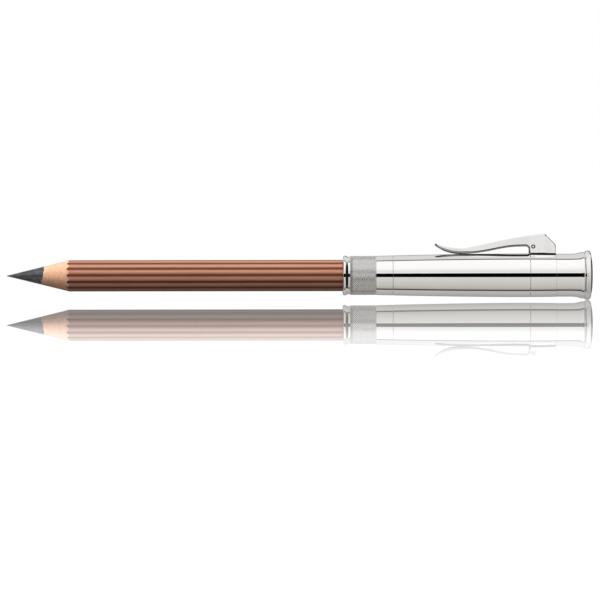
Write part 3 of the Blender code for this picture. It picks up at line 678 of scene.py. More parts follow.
CHROME = metal("polished_plate", (0.985, 0.975, 0.96), 0.012, 0.018, 6.0 * MM, tone=0.02)
# dark metal that paints shade under the clip's lever, in the contact gap over the barrel and at the low
# front wall
UNDERSIDE_SHADE = metal("clip_underside_painted_shade", (0.075, 0.072, 0.07), 0.30, 0.15, 1.0 * MM, tone=0.2)
# darker metal that paints shade on the lower edges of the clip's bar, which lean downwards
EDGE_SHADE = metal("clip_edge_painted_shade", (0.33, 0.322, 0.314), 0.16, 0.10, 1.0 * MM, tone=0.12)
# dark metal that paints shade in the recess round the clip's pin and on the rim of the pin's head
RECESS_SHADE = metal("pin_recess_painted_shade", (0.07, 0.068, 0.065), 0.45, 0.15, 0.3 * MM, tone=0.3)
KNURLED = knurled()
BRASS = metal("core_brass", (0.74, 0.56, 0.28), 0.24, 0.14, 2.0 * MM, (6, 1, 1), tone=0.15)
STEEL = metal("plain_steel", (0.72, 0.71, 0.70), 0.16, 0.12, 0.6 * MM, tone=0.12)
SPRING_STEEL = metal("spring_wire", (0.50, 0.50, 0.51), 0.24, 0.12, 0.5 * MM, tone=0.2)
BLADE_STEEL = metal("blade_steel", (0.66, 0.67, 0.69), 0.20, 0.14, 0.35 * MM, (1, 14, 14), tone=0.12)
ALUMINIUM = metal("ferrule_aluminium", (0.87, 0.865, 0.85), 0.18, 0.12, 0.35 * MM, (1, 9, 9), tone=0.08)
PLASTIC = moulded("black_plastic", (0.018, 0.018, 0.020), 0.42)
COLLET = moulded("collet_plastic", (0.030, 0.030, 0.033), 0.48)
RUBBER = moulded("ring_rubber", (0.012, 0.012, 0.012), 0.62)
ERASER = moulded("eraser_rubber", (0.80, 0.78, 0.74), 0.78, 0.25 * MM, 0.02 * MM)
LACQUER = lacquer()
CEDAR = cedar()
GRAPHITE = graphite()


def dress(ob, finishes, body, slot, *nodes):
    """Gives a piece its materials and its body, and hides the solids that it stands for; the slot is not
    used.
    """
    for made in finishes:
        ob.data.materials.append(made)
    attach(ob, body)
    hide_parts(*nodes)
    return ob


def repaint(node, made):
    """Gives its material to a solid that is shown as it is."""
    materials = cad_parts[node].data.materials
    materials.clear()
    materials.append(made)


# Pencil


def ripple(angle, shift):
    """A small fixed unevenness round the axis, between -1 and 1."""
    return sum(share * math.sin(count * angle + shift * count) for count, share in RIPPLE_WAVES)


def reed_at(angle):
    """0 in a valley between reeds and 1 on a crest, with the valley softened by the lacquer in it."""
    wave = math.sin(FLUTES * (angle - FLUTE_TURN) / 2)
    crest = math.sqrt(1 + FLUTE_SOFT**2) - FLUTE_SOFT
    return (math.sqrt(wave * wave + FLUTE_SOFT**2) - FLUTE_SOFT) / crest


def fluted_radius(angle):
    return PENCIL_R - FLUTE_DEPTH * (1 - reed_at(angle))


def cone_x(radius):
    return X_APEX + radius / math.tan(POINT_HALF_ANGLE)


def lead_radius(angle):
    """The lead sits a little high in the casing, and its edge is slightly uneven."""
    return LEAD_R + LEAD_LEAN * math.sin(angle) + LEAD_RIPPLE * ripple(angle, LEAD_RIPPLE_SHIFT)


def casing_profile(angle):
    """The cut point, the reeded shank and the rear spigot, then back along the bore."""
    lead_r = lead_radius(angle)
    crest = fluted_radius(angle)
    start = cone_x(lead_r)
    end = cone_x(crest) + CUT_RIPPLE * ripple(angle, CUT_RIPPLE_SHIFT)
    points = []
    for t in even_shares(CONE_ROWS):
        points.append((start + (end - start) * t, lead_r + (crest - lead_r) * t))
    for i in range(1, SHANK_ROWS + 1):
        points.append((end + (X_SHOULDER - end) * i / SHANK_ROWS, crest))
    points += [(X_SHOULDER, ERASER_R), (X_PENCIL_END, ERASER_R), (X_PENCIL_END, lead_r)]
    return points


def casing(name, side, node):
    """One of the two glued halves of the casing, from valley to valley; side is 1 above and -1 below."""
    count = FLUTES * FLUTE_STEPS // 2
    angles = [FLUTE_TURN + side * math.pi * i / count for i in range(count + 1)]
    zones = [1] * CONE_ROWS + [0] * SHANK_ROWS + [1] * 4
    mesh = swept(name, casing_profile, angles, closed=True, full=False, zones=zones)
    reed = mesh.attributes.new("reed", "FLOAT", "POINT")
    for vert in mesh.vertices:
        angle = math.atan2(vert.co.z - AXIS_Z, -vert.co.y)
        reed.data[vert.index].value = reed_at(angle)
    shade(mesh)
    dress(new_object(name, mesh), [LACQUER, CEDAR], "pencil", "lacquered_cedar", node)


def lead():
    def profile(angle):
        edge = lead_radius(angle)
        start = cone_x(edge)
        nib = arc(X_TIP + TIP_R, 0, TIP_R, TIP_R, 180, 90 + math.degrees(POINT_HALF_ANGLE), NIB_STEPS)
        x, r = nib[-1]
        cone = [(x + (start - x) * t, r + (edge - r) * t) for t in even_shares(CONE_ROWS)[1:]]
        return [*nib, *cone, (X_PENCIL_END, edge), (X_PENCIL_END, 0)]

    angles = [FLUTE_TURN + a for a in turn_angles(FLUTES * FLUTE_STEPS)]
    mesh = swept("lead", profile, angles, closed=False, full=True)
    shade(mesh)
    dress(new_object("lead", mesh), [GRAPHITE], "pencil", "graphite", "graphite_lead")


def crown(rear, radius, rounding):
    """The rounded rear corner of a round piece."""
    return arc(rear - rounding, radius - rounding, rounding, rounding, 90, 0)


def eraser_end():
    front, rear = span("eraser_ferrule")
    inner = FERRULE_R - FERRULE_BEAD
    beads = []
    for place in FERRULE_BEADS:
        middle = front + (rear - front) * place
        beads += arc(middle, inner, FERRULE_BEAD_W, FERRULE_BEAD, 180, 0, BEAD_STEPS)
    tube = [(rear, FERRULE_IR), (front, FERRULE_IR)]
    section = eased([(front, FERRULE_R, RIM_EASE), *beads, (rear, FERRULE_R, RIM_EASE), *tube])
    section = [(x, max(r, inner)) if r > FERRULE_IR + MERGE else (x, r) for x, r in section]
    dress(turned("ferrule", section), [ALUMINIUM], "pencil", "ferrule_aluminium", "eraser_ferrule")

    front, rear = span("eraser")
    section = [(front, 0), (front, ERASER_R), *crown(rear, ERASER_R, ERASER_ROUND), (rear, 0)]
    dress(turned("rubber", section, closed=False), [ERASER], "pencil", "eraser_rubber", "eraser")

    front, rear = span("eraser_cap")
    wall = CAP_R - CAP_IR
    groove = front + CAP_GROOVE_X
    section = [
        (rear - wall, 0),
        (rear - wall, CAP_IR - ERASER_ROUND / 2),
        (rear - wall - ERASER_ROUND / 2, CAP_IR),
        *eased([(front, CAP_IR), (front, CAP_R, EASE), (groove, CAP_R)])[:-1],
        *arc(groove, CAP_R, CAP_GROOVE_W, -CAP_GROOVE_DEPTH, 180, 0, BEAD_STEPS),
        *crown(rear, CAP_R, CAP_ROUND),
        (rear, 0),
    ]
    dress(turned("rubber_cap", section, closed=False), [CHROME], "eraser_cap", "plated_metal", "eraser_cap")


# Cap


def barrel_radius(x):
    """Outside of the plain band and the barrel, which swell towards the clip ring."""
    share = (X_RING - x) / (X_RING - X_BAND)
    return BARREL_R - (BARREL_R - BAND_R) * max(share, 0.0) ** BARREL_SWELL


def mouth():
    rear = low("knurled_sleeve").x - SEAM
    spigot = high("mouth_ring").x
    nose = arc(
        X_MOUTH + MOUTH_NOSE_L, MOUTH_CREST_R - MOUTH_NOSE_DROP, MOUTH_NOSE_L, MOUTH_NOSE_DROP, 180, 90
    )
    fall = MOUTH_CREST_R - MOUTH_GROOVE_R
    start = X_MOUTH + MOUTH_CREST_END
    back = []
    for t in even_shares(2 * ARC_STEPS):
        back.append((start + MOUTH_BACK_L * t, MOUTH_CREST_R - fall * t * t * (3 - 2 * t)))
    section = eased(
        [
            (X_MOUTH, MOUTH_R, EASE),
            *nose,
            *back,
            (rear, MOUTH_GROOVE_R + MOUTH_GROOVE_RISE, FINE_EASE),
            (rear, SPIGOT_R),
            (spigot, SPIGOT_R),
            (spigot, MOUTH_R),
        ]
    )
    dress(turned("mouth", section), [CHROME], "extender", "plated_metal", "mouth_ring")


def knurl():
    """Two crossing sets of grooves leave rows of small blunt pyramids."""
    front, rear = span("knurled_sleeve")
    pitch = 2 * math.pi * KNURL_R / KNURL_COUNT
    columns = KNURL_COUNT * KNURL_CELL
    length = rear - front - 2 * KNURL_EDGE
    gaps = round(length / pitch * KNURL_CELL)

    def height(i, j):
        u = j / KNURL_CELL
        v = i / KNURL_CELL
        far = max(abs((u + v + 0.5) % 1 - 0.5), abs((u - v + 0.5) % 1 - 0.5))
        return KNURL_R - KNURL_DEPTH * max(far - KNURL_FLAT, 0.0) / (0.5 - KNURL_FLAT)

    def plain(x, radius):
        return [(x, radius)] * columns

    edge_r = KNURL_R - KNURL_DEPTH
    foot_r = edge_r - KNURL_DEPTH / 2
    rings = [plain(front, SLEEVE_IR), plain(front, foot_r), plain(front + KNURL_EDGE / 2, edge_r)]
    for i in range(gaps + 1):
        x = front + KNURL_EDGE + length * i / gaps
        rings.append([(x, height(i, j)) for j in range(columns)])
    rings += [plain(rear - KNURL_EDGE / 2, edge_r), plain(rear, foot_r), plain(rear, SLEEVE_IR)]
    points = []
    for ring in rings:
        for j, (x, radius) in enumerate(ring):
            points.append(round_the_axis(x, radius, 2 * math.pi * j / columns))
    faces = []
    count = len(rings)
    for i in range(count):
        k = (i + 1) % count
        for j in range(columns):
            m = (j + 1) % columns
            corners = (i * columns + j, i * columns + m, k * columns + m, k * columns + j)
            across = rings[i][j][1] + rings[k][m][1]
            other = rings[i][m][1] + rings[k][j][1]
            a, b, c, d = corners
            if abs(across - other) < MERGE:
                faces.append(corners)
            elif across < other:
                faces += [(a, b, c), (a, c, d)]
            else:
                faces += [(a, b, d), (b, c, d)]
    mesh = clean_mesh("knurl", points, faces)
    tooth = mesh.attributes.new("tooth", "FLOAT", "POINT")
    for vert in mesh.vertices:
        radius = math.hypot(vert.co.y, vert.co.z - AXIS_Z)
        inside = front + KNURL_EDGE / 2 < vert.co.x - MERGE and vert.co.x + MERGE < rear - KNURL_EDGE / 2
        tooth.data[vert.index].value = 1 - (KNURL_R - radius) / KNURL_DEPTH if inside else 1.0
    shade(mesh, KNURL_SHARP)
    dress(new_object("knurl", mesh), [KNURLED], "extender", "knurled_metal", "knurled_sleeve")


def swollen(front, rear, stretches):
    stations = [front + (rear - front) * i / stretches for i in range(stretches + 1)]
    return [(x, barrel_radius(x)) for x in stations]


def softened_shell(line, inside, rear_edge=SEAM_EDGE):
    """A shell's section from its outside line, with eased edges, and the points of its inside."""
    first = (*line[0], SEAM_EDGE)
    last = (*line[-1], rear_edge)
    return eased([first, *line[1:-1], last, *inside])


def shells():
    front, rear = span("plain_band")
    section = softened_shell(swollen(front, rear, BAND_ROWS), [(rear, SLEEVE_IR), (front, SLEEVE_IR)])
    dress(turned("band", section), [CHROME], "extender", "plated_metal", "plain_band")

    front, rear = span("barrel")
    step = X_MOUTH + BARREL_STEP_X
    inside = [(rear, BARREL_IR), (step + BARREL_STEP_L, BARREL_IR), (step, SLEEVE_IR), (front, SLEEVE_IR)]
    section = softened_shell(swollen(front, rear, BARREL_ROWS), inside)
    dress(turned("shell", section), [CHROME], "extender", "plated_metal", "barrel")


def clip_ring():
    """The ring with the pin's lug, the spring's seat pad and the two wells for the clip's house."""
    front, rear = span("clip_ring")
    line = [(front, BARREL_R), ((front + rear) / 2, (BARREL_R + RING_REAR_R) / 2), (rear, RING_REAR_R)]
    ring = turned("ring", softened_shell(line, [(rear, BARREL_IR), (front, BARREL_IR)], FAINT_EDGE))
    lug_r = PIVOT_SETBACK - SEAM
    head = [math.pi * i / LUG_STEPS for i in range(LUG_STEPS + 1)]
    outline = [(X_PIVOT + lug_r * math.cos(a), Z_PIVOT + lug_r * math.sin(a)) for a in head]
    root = AXIS_Z + (BARREL_IR + BARREL_R) / 2
    outline += [(X_PIVOT - lug_r, root), (X_PIVOT + lug_r, root)]
    half = LUG_W / 2
    lug = prism("lug", outline, half)
    bore = rod("lug_bore", LUG_W, PIN_R + FIT, across_pivot())
    pad = block("seat_pad", (X_PIVOT, -half, root), (rear, half, AXIS_Z + BARREL_R + SEAT_PAD_H))
    tools = [(lug, "UNION"), (pad, "UNION"), (bore, "DIFFERENCE")]
    inner = CLIP_W / 2 - HOUSE_WALL - WELL_SIDE
    outer = CLIP_W / 2 + WELL_SIDE
    floor_z = AXIS_Z + BARREL_R - WELL_DEPTH
    for name, low_y, high_y in (("well_near", -outer, -inner), ("well_far", inner, outer)):
        well = block(name, (X_PIVOT + WELL_BACK, low_y, floor_z), (X_KNOB + OVERCUT, high_y, Z_PIVOT))
        tools.append((well, "DIFFERENCE"))
    carved(ring, tools)
    dress(ring, [CHROME], "extender", "plated_metal", "clip_ring")


def hidden_tubes():
    front, rear = span("core_tube")
    step = X_MOUTH + CORE_STEP_X
    wide = step + BARREL_STEP_L
    section = eased(
        [
            (front, CORE_FRONT_OR, EASE),
            (step, CORE_FRONT_OR),
            (wide, CORE_REAR_OR),
            (rear, CORE_REAR_OR, EASE),
            (rear, CORE_REAR_OR - CORE_WALL, EASE),
            (wide + CORE_WALL, CORE_REAR_OR - CORE_WALL),
            (step + CORE_WALL, CORE_FRONT_OR - CORE_WALL),
            (front, CORE_FRONT_OR - CORE_WALL, EASE),
        ]
    )
    dress(turned("inner_tube", section), [BRASS], "extender", "core_brass", "core_tube")

    front, rear = span("ring_keeper")
    inner = CORE_REAR_OR + FIT
    outer = inner + KEEPER_WALL
    section = eased([(front, outer), (rear, outer, RIM_EASE), (rear, inner, KEEPER_EASE), (front, inner)])
    dress(turned("keeper", section), [STEEL], "extender", "keeper_steel", "ring_keeper")
    repaint("grip_collet", COLLET)


def across_pivot():
    """Local Z to the pin's line, which runs across the pencil."""
    return Matrix.Translation((X_PIVOT, 0, Z_PIVOT)) @ Matrix.Rotation(math.pi / 2, 4, "X")


# Clip


def pull(length, angle=0.0):
    """A curve handle of that length, turned up from the direction of +X."""
    return Vector((length * math.cos(angle), length * math.sin(angle)))


def bent(knots, steps):
    """Points along Bezier stretches; knots are (point, handle in, handle out)."""
    made = [Vector(knots[0][0])]
    for (a, _, out), (b, into, _) in zip(knots, knots[1:]):
        a, b = Vector(a), Vector(b)
        made += interpolate_bezier(a, a + Vector(out), b + Vector(into), b, steps + 1)[1:]
    return [(p.x, p.y) for p in made]


def clip_lines():
    """The lever's upper and lower lines in the side view, about its pivot, from the nose to the tail."""
    bearing = AXIS_Z + barrel_radius(X_PIVOT - CLIP_BEARING) + CLIP_GAP - Z_PIVOT
    bar_top = bearing + CLIP_BAR_H
    nose = bearing + CLIP_TIP_RISE
    sole = bearing - SOLE_DROP
    arch = bearing + ARCH_RISE
    front = -HOUSE_FRONT
    tail = X_KNOB - X_PIVOT - HOUSE_TAIL_GAP
    slant = HOUSE_TOP - HOUSE_SLANT_DROP
    roof_run = HOUSE_CORNER + CLIP_BEARING
    nose_run = CLIP_REACH - CLIP_BEARING
    arch_run = SOLE_X - ARCH_BACK
    front_run = ARCH_BACK + front
    to_bar = pull(NOSE_PULL * nose_run, -NOSE_SLOPE)
    round_off = NOSE_ROUND_PULL * CLIP_NOSE_R
    sharp = (0, 0)
    tip = (-CLIP_REACH, nose)
    upper = bent(
        [
            (tip, sharp, (0, round_off)),
            ((-CLIP_REACH + CLIP_NOSE_R, nose + CLIP_NOSE_R), pull(-round_off, -NOSE_SLOPE), to_bar),
            ((-CLIP_BEARING, bar_top), pull(-BAR_NOSE_PULL * nose_run), pull(BAR_ROOF_PULL * roof_run)),
            ((HOUSE_CORNER, HOUSE_TOP), pull(-ROOF_PULL * roof_run, ROOF_SLOPE), sharp),
        ],
        BEND_STEPS,
    )
    upper += [(tail - HOUSE_CHAMFER, slant), (tail, slant - HOUSE_CHAMFER)]
    lower = bent(
        [
            (tip, sharp, (0, -round_off)),
            (
                (-CLIP_REACH + CLIP_NOSE_R / 2, nose - CLIP_NOSE_R),
                pull(-round_off / 2, -SOLE_SLOPE),
                pull(SOLE_PULL, -SOLE_SLOPE),
            ),
            (
                (-SOLE_X, sole),
                pull(-SOLE_NOSE_PULL, SOLE_TILT),
                pull(BEARING_ARCH_PULL * arch_run, SOLE_TILT),
            ),
            ((-ARCH_BACK, arch), pull(-ARCH_PULL * arch_run), pull(ARCH_CORNER_PULL * front_run)),
            ((front, HOUSE_FLOOR + HOUSE_FRONT_H), (0, ARCH_CORNER_PULL * front_run), sharp),
        ],
        BEND_STEPS,
    )
    lower += [(front + SEAM / 2, HOUSE_FLOOR), (tail, HOUSE_FLOOR)]
    return upper, lower


def clamped(share):
    return min(max(share, 0.0), 1.0)


def on_line(line, x):
    """Height of a line at x."""
    for (xa, za), (xb, zb) in zip(line, line[1:]):
        if xa <= x <= xb:
            return za + (zb - za) * (x - xa) / max(xb - xa, MERGE)
    return line[-1][1]


def clip_foot(x):
    """Half of the lever's width at its foot; it narrows to a rounded nose."""
    along = clamped((-x - ARCH_BACK) / (CLIP_REACH - ARCH_BACK))
    half = CLIP_W / 2 - along * (CLIP_W - CLIP_TIP_W) / 2
    near = x + CLIP_REACH
    if near < CLIP_TIP_ROUND:
        gap = CLIP_TIP_ROUND - near
        half -= CLIP_TIP_ROUND - math.sqrt(max(CLIP_TIP_ROUND**2 - gap * gap, 0.0))
    return half


def edge_inset(distance, reach):
    """How far a rounded edge lies inside its square corner, at a distance from the end face."""
    gap = reach - min(distance, reach)
    return reach - math.sqrt(max(reach * reach - gap * gap, 0.0))


def nose_bevel(side_roof, foot, shoulder, deep):
    """The nose's lower corner: a broad bevel, from the keel up to a crisp edge on the side."""
    edge = Vector((side_roof + (shoulder - foot - deep) * math.tan(NOSE_DRAFT), foot + deep))
    keel = Vector((edge.x * (1 - NOSE_BEVEL_W), foot))
    knee = Vector(((edge.x + keel.x) / 2, foot + NOSE_KNEE * deep))
    return [quadratic(keel, knee, edge, t) for t in even_shares(SECTION_ARC + 1)]


def clip_section(x, foot, roof, tail):
    """Ring of (y, z) points round the lever: drafted sides, eased upper edges and a rounded underside."""
    front = -HOUSE_FRONT
    inset = edge_inset(tail - x, TAIL_ROUND)
    roof -= inset
    house = x > front
    tall = max(roof - foot, MERGE)
    wide, deep = CLIP_FOOT_ROUND if house else CLIP_BAR_ROUND
    strip = 0.0 if house else CLIP_BAR_STRIP
    fit = min(1.0, FOOT_SHARE * tall / (deep + strip))
    wide, deep, strip = wide * fit, deep * fit, strip * fit
    base = clip_foot(x) - inset
    side_foot = base - (foot - HOUSE_FLOOR) * math.tan(CLIP_DRAFT)
    side_roof = base - (roof - HOUSE_FLOOR) * math.tan(CLIP_DRAFT)
    over = min(CLIP_BACK_ROUND if x > HOUSE_CORNER else CLIP_TOP_ROUND, TOP_SHARE * tall)
    quarter = [math.pi / 2 * k / SECTION_ARC for k in range(SECTION_ARC + 1)]
    corner = []
    for a in quarter:
        corner.append(Vector((side_foot - wide + wide * math.sin(a), foot + deep - deep * math.cos(a))))
    if not house:
        corner.append(Vector((side_foot, foot + deep + strip)))
        bar = clamped((x - NOSE_FADE[0]) / (NOSE_FADE[1] - NOSE_FADE[0]))
        bevel = nose_bevel(side_roof, foot, roof - over, min(NOSE_BEVEL_H, NOSE_BEVEL_SHARE * tall))
        corner = [a.lerp(b, bar) for a, b in zip(bevel, corner)]
    right = [(0.0, foot), (corner[0].x / 2, foot), *[tuple(p) for p in corner]]
    low_side = corner[-1]
    high_side = Vector((side_roof, roof - over))
    shares = SIDE_SHARES if house else SIDE_SHARES[1:]
    right += [tuple(low_side.lerp(high_side, share)) for share in shares]
    for a in quarter:
        right.append((side_roof - over + over * math.cos(a), roof - over + over * math.sin(a)))
    right += [((side_roof - over) / 2, roof), (0.0, roof)]
    if house:
        step = edge_inset(x - front, HOUSE_FRONT_ROUND)
        front_top = HOUSE_FLOOR + HOUSE_FRONT_H
        shares = [clamped((front_top + FRONT_FADE - z) / FRONT_FADE) for _, z in right]
        right = [(max(y - step * share, 0.0), z) for (y, z), share in zip(right, shares)]
    return right + [(-y, z) for y, z in reversed(right[1:-1])]


def drafted(ob):
    """Leans the outer ends of a cross piece with the lever's drafted sides."""
    for vert in ob.data.vertices:
        if abs(vert.co.y) > PIN_STEP / 2:
            vert.co.y -= math.copysign(1.0, vert.co.y) * (vert.co.z - Z_PIVOT) * math.tan(CLIP_DRAFT)
    ob.data.update()


def from_pivot(point):
    """Distance from the pin's line."""
    return math.hypot(point.x - X_PIVOT, point.z - Z_PIVOT)


def lever_plate_or_shade(mesh, face):
    """A face's material: 1 painted shade under the lever, 2 painted shade in the pin's recess, 3 painted
    shade on the lower edges and 0 the plain plate elsewhere.
    """
    x, y, z = face.center
    side = x - X_PIVOT < HOUSE_FRONT_ROUND - HOUSE_FRONT and face.normal.x < FACES_FRONT
    low_down = z < Z_PIVOT + HOUSE_FLOOR + HOUSE_FRONT_H
    near_barrel = z - AXIS_Z - barrel_radius(x) < SOLE_SHADE
    sole = face.normal.z < FACES_DOWN and (near_barrel or abs(face.normal.y) < FACES_ASIDE)
    if sole or (side and low_down and x > X_PIVOT - ARCH_BACK):
        return 1
    round_pin = max(from_pivot(mesh.vertices[i].co) for i in face.vertices) < PIN_RING_R + FIT / 2
    if round_pin and abs(y) > PIN_STEP / 2:
        return 2
    if x < X_PIVOT - HOUSE_FRONT and face.normal.z < LEANS_DOWN:
        return 3
    return 0


def clip_lever():
    upper, lower = clip_lines()
    tail = upper[-1][0]
    front = -HOUSE_FRONT
    stations = {x for x, _ in upper + lower}
    steps = even_shares(STATION_STEPS)
    stations |= {-CLIP_REACH + CLIP_TIP_ROUND * t**2 for t in steps}
    stations |= {HOUSE_CORNER + (tail - HOUSE_CORNER) * t for t in steps}
    stations |= {front + SEAM / 2 + HOUSE_FRONT_ROUND * t * t for t in steps}
    stations |= {tail - TAIL_ROUND * t * t for t in steps}
    stations |= {HOUSE_CORNER - TAIL_ROUND, front + 2 * HOUSE_FRONT_ROUND}
    ordered = sorted(stations)
    kept = [ordered[0]]
    for x in ordered[1:]:
        if x - kept[-1] > STATION_GAP:
            kept.append(x)
    points = []
    for x in kept:
        for y, z in clip_section(x, on_line(lower, x), on_line(upper, x), tail):
            points.append((X_PIVOT + x, y, Z_PIVOT + z))
    ring = len(points) // len(kept)
    faces = [tuple(range(ring)), tuple(range(len(points) - ring, len(points)))]
    faces += joined_rings(len(kept), ring)
    lever = new_object("lever", clean_mesh("lever", points, faces))

    inside = CLIP_W / 2 - HOUSE_WALL
    ring_top = AXIS_Z + BARREL_R
    pocket_end = high("clip_spring").x + 2 * SPRING_WIRE_R
    house = block(
        "house", (X_PIVOT - HOLLOW_FRONT, -inside, ring_top), (pocket_end, inside, Z_PIVOT + HOUSE_ROOF)
    )
    relief = block(
        "relief", (X_PIVOT, -inside, ring_top), (X_KNOB, inside, Z_PIVOT + HOUSE_FLOOR + TAIL_RELIEF)
    )
    sink = [(-CLIP_W, 0), (-CLIP_W, PIN_RING_R), (-PIN_STEP, PIN_RING_R), (-PIN_STEP, PIN_R + FIT)]
    bore = spun("clip_bore", mirrored(sink), across_pivot(), PIN_STEPS)
    drafted(bore)
    carved(lever, [(house, "DIFFERENCE"), (relief, "DIFFERENCE"), (bore, "DIFFERENCE")])
    for face in lever.data.polygons:
        face.material_index = lever_plate_or_shade(lever.data, face)
    shade(lever.data)
    dress(lever, [CHROME, UNDERSIDE_SHADE, RECESS_SHADE, EDGE_SHADE], "clip", "plated_metal", "clip_lever")


def clip_pin():
    half = [(-PIN_RIM, 0), (-PIN_RIM, PIN_HEAD_R), (-PIN_STEP, PIN_HEAD_R), (-PIN_STEP, PIN_R)]
    pin = spun("pin", mirrored(half), across_pivot(), PIN_STEPS)
    drafted(pin)
    # faces of the pin's head out past that radius get painted shade at its rim
    for face in pin.data.polygons:
        if from_pivot(face.center) > PIN_SHADE_R:
            face.material_index = 1
    shade(pin.data)
    dress(pin, [CHROME, RECESS_SHADE], "extender", "pin_steel", "clip_pin")


def clip_coil():
    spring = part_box("clip_spring")
    low_end = spring[0].z + SPRING_WIRE_R
    high_end = spring[1].z - SPRING_WIRE_R
    middle = (spring[0].x + spring[1].x) / 2
    curve = bpy.data.curves.new("coil", "CURVE")
    curve.dimensions = "3D"
    curve.bevel_depth = SPRING_WIRE_R
    curve.bevel_resolution = SPRING_FACETS
    curve.use_fill_caps = True
    spline = curve.splines.new("POLY")
    count = SPRING_TURNS * SPRING_POINTS
    spline.points.add(count)
    for i, knot in enumerate(spline.points):
        a = 2 * math.pi * i / SPRING_POINTS
        z = low_end + (high_end - low_end) * i / count
        knot.co = (middle + SPRING_R * math.cos(a), SPRING_R * math.sin(a), z, 1)
    guide = new_object("coil_guide", curve)
    bpy.context.view_layer.update()
    mesh = bpy.data.meshes.new_from_object(guide.evaluated_get(bpy.context.evaluated_depsgraph_get()))
    bpy.data.objects.remove(guide)
    shade(mesh)
    coil = dress(new_object("coil", mesh), [SPRING_STEEL], "extender", "spring_steel", "clip_spring")
    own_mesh(coil)


# Knob and sharpener


def knob():
    plug, end = span("end_knob")
    shoulder = X_KNOB + SEAM / 2
    flare = X_KNOB + NECK_L
    lip = flare + FLARE_L
    lip_r = NECK_R + FLARE_RISE
    bead_x = end - BEAD_HALF_W
    centre = BEAD_CREST - BEAD_R
    cove_r = lip_r - COVE_DEPTH
    cove_x = lip + LIP_W + COVE_W / 2
    start = 180 - math.degrees(math.asin((cove_r - centre) / BEAD_R))
    slot_front = plug + PLUG_L / 2 - O_RING_SLOT_W / 2
    slot_rear = plug + PLUG_L / 2 + O_RING_SLOT_W / 2
    keeper_r = CORE_REAR_OR + FIT + KEEPER_WALL + FIT
    keeper_end = high("ring_keeper").x + SEAT
    rim_r = DISC_R + FIT
    bed = end - DISC_DEPTH
    tang_r = TANG_R + FIT
    tang_end = plug + TANG_L + 2 * SEAT
    sweep = [(flare + FLARE_L * t, NECK_R + FLARE_RISE * t * t) for t in even_shares(ARC_STEPS)]
    section = eased(
        [
            (tang_end, 0),
            (tang_end, tang_r),
            (plug, tang_r, EASE),
            (plug, PLUG_R, BROAD_EASE),
            (slot_front, PLUG_R, FINE_EASE),
            (slot_front, O_RING_SLOT_R),
            (slot_rear, O_RING_SLOT_R),
            (slot_rear, PLUG_R, FINE_EASE),
            (keeper_end, PLUG_R),
            (keeper_end, keeper_r),
            (shoulder, keeper_r, FINE_EASE),
            (shoulder, NECK_R, FAINT_EDGE),
            (flare, NECK_R),
            *sweep[1:-1],
            (lip, lip_r, LIP_FRONT_EASE),
            (lip + LIP_W, lip_r, LIP_REAR_EASE),
            (cove_x, cove_r, EASE),
            *arc(bead_x, centre, BEAD_HALF_W, BEAD_R, start, 90)[:-1],
            *arc(bead_x, centre, BEAD_HALF_W, BEAD_R, 90, 0),
            (end, rim_r, FINE_EASE),
            (bed, rim_r),
            (bed, 0),
        ]
    )
    dress(turned("knob", section, closed=False), [CHROME], "knob", "plated_metal", "end_knob")

    bed, land = span("end_disc")
    fall = DISC_R - DISC_LAND_R
    dome = []
    for t in even_shares(ARC_STEPS):
        dome.append((end + DISC_DOME * (1 - (1 - t) ** 2), DISC_R - fall * t))
    section = eased([(bed, 0), (bed, DISC_R), (*dome[0], RIM_EASE), *dome[1:], (land, 0)])
    dress(turned("disc", section, closed=False), [CHROME], "knob", "plated_metal", "end_disc")

    x = sum(span("friction_ring")) / 2
    middle = PLUG_R + SEAT / 2 - O_RING_R
    section = arc(x, middle, O_RING_R, O_RING_R, 360, 360 / O_RING_STEPS, O_RING_STEPS - 1)
    dress(turned("o_ring", section), [RUBBER], "knob", "seal_rubber", "friction_ring")


def sharpener():
    rear = low("end_knob").x - SEAT
    apex = rear - SHARPENER_COLLAR
    mouth_x = apex - ENTRY_R / math.tan(POINT_HALF_ANGLE)
    front = low("sharpener_body").x
    section = eased(
        [
            (apex, 0),
            (mouth_x, ENTRY_R),
            (front, ENTRY_R, ENTRY_EASE),
            (front, SHARPENER_R, BROAD_EASE),
            (rear, SHARPENER_R, BROAD_EASE),
            (rear, TANG_R),
            (rear + TANG_L, TANG_R, BROAD_EASE),
            (rear + TANG_L, 0),
        ]
    )
    body = turned("sharpener", section, closed=False)
    lean = Matrix.Rotation(POINT_HALF_ANGLE, 4, "Y")
    foot = Vector((apex, 0, AXIS_Z)) + lean.to_3x3() @ Vector((0, 0, -BLADE_BITE))
    seat = Matrix.Translation(foot) @ lean
    reach = (apex - front) / math.cos(POINT_HALF_ANGLE)
    wide = SHARPENER_R + OVERCUT
    flat = block("flat", (-reach - wide, -wide, 0), (SEAT_END, wide, 2 * wide))
    flat.data.transform(seat)
    at_screw = seat @ Matrix.Translation((-SCREW_BACK, -SCREW_ASIDE, 0))
    hole = rod("hole", SCREW_L + SEAT, SCREW_R + FIT, at_screw)
    carved(body, [(flat, "DIFFERENCE"), (hole, "DIFFERENCE")])
    about = Matrix.Translation((0, 0, AXIS_Z)) @ Matrix.Rotation(SHARPENER_TURN, 4, "X")
    body.data.transform(about @ Matrix.Translation((0, 0, -AXIS_Z)))
    dress(body, [PLASTIC], "knob", "sharpener_plastic", "sharpener_body")
    repaint("sharpener_blade", BLADE_STEEL)
    repaint("blade_screw", STEEL)


casing("casing_upper", 1, "cedar_slat_upper")
casing("casing_lower", -1, "cedar_slat_lower")
lead()
eraser_end()
mouth()
knurl()
shells()
clip_ring()
hidden_tubes()
clip_lever()
clip_pin()
clip_coil()
knob()
sharpener()


# Stage

def emptied(owner):
    """A new material or world with its nodes cleared."""
    owner.use_nodes = True
    owner.node_tree.nodes.clear()
    return owner


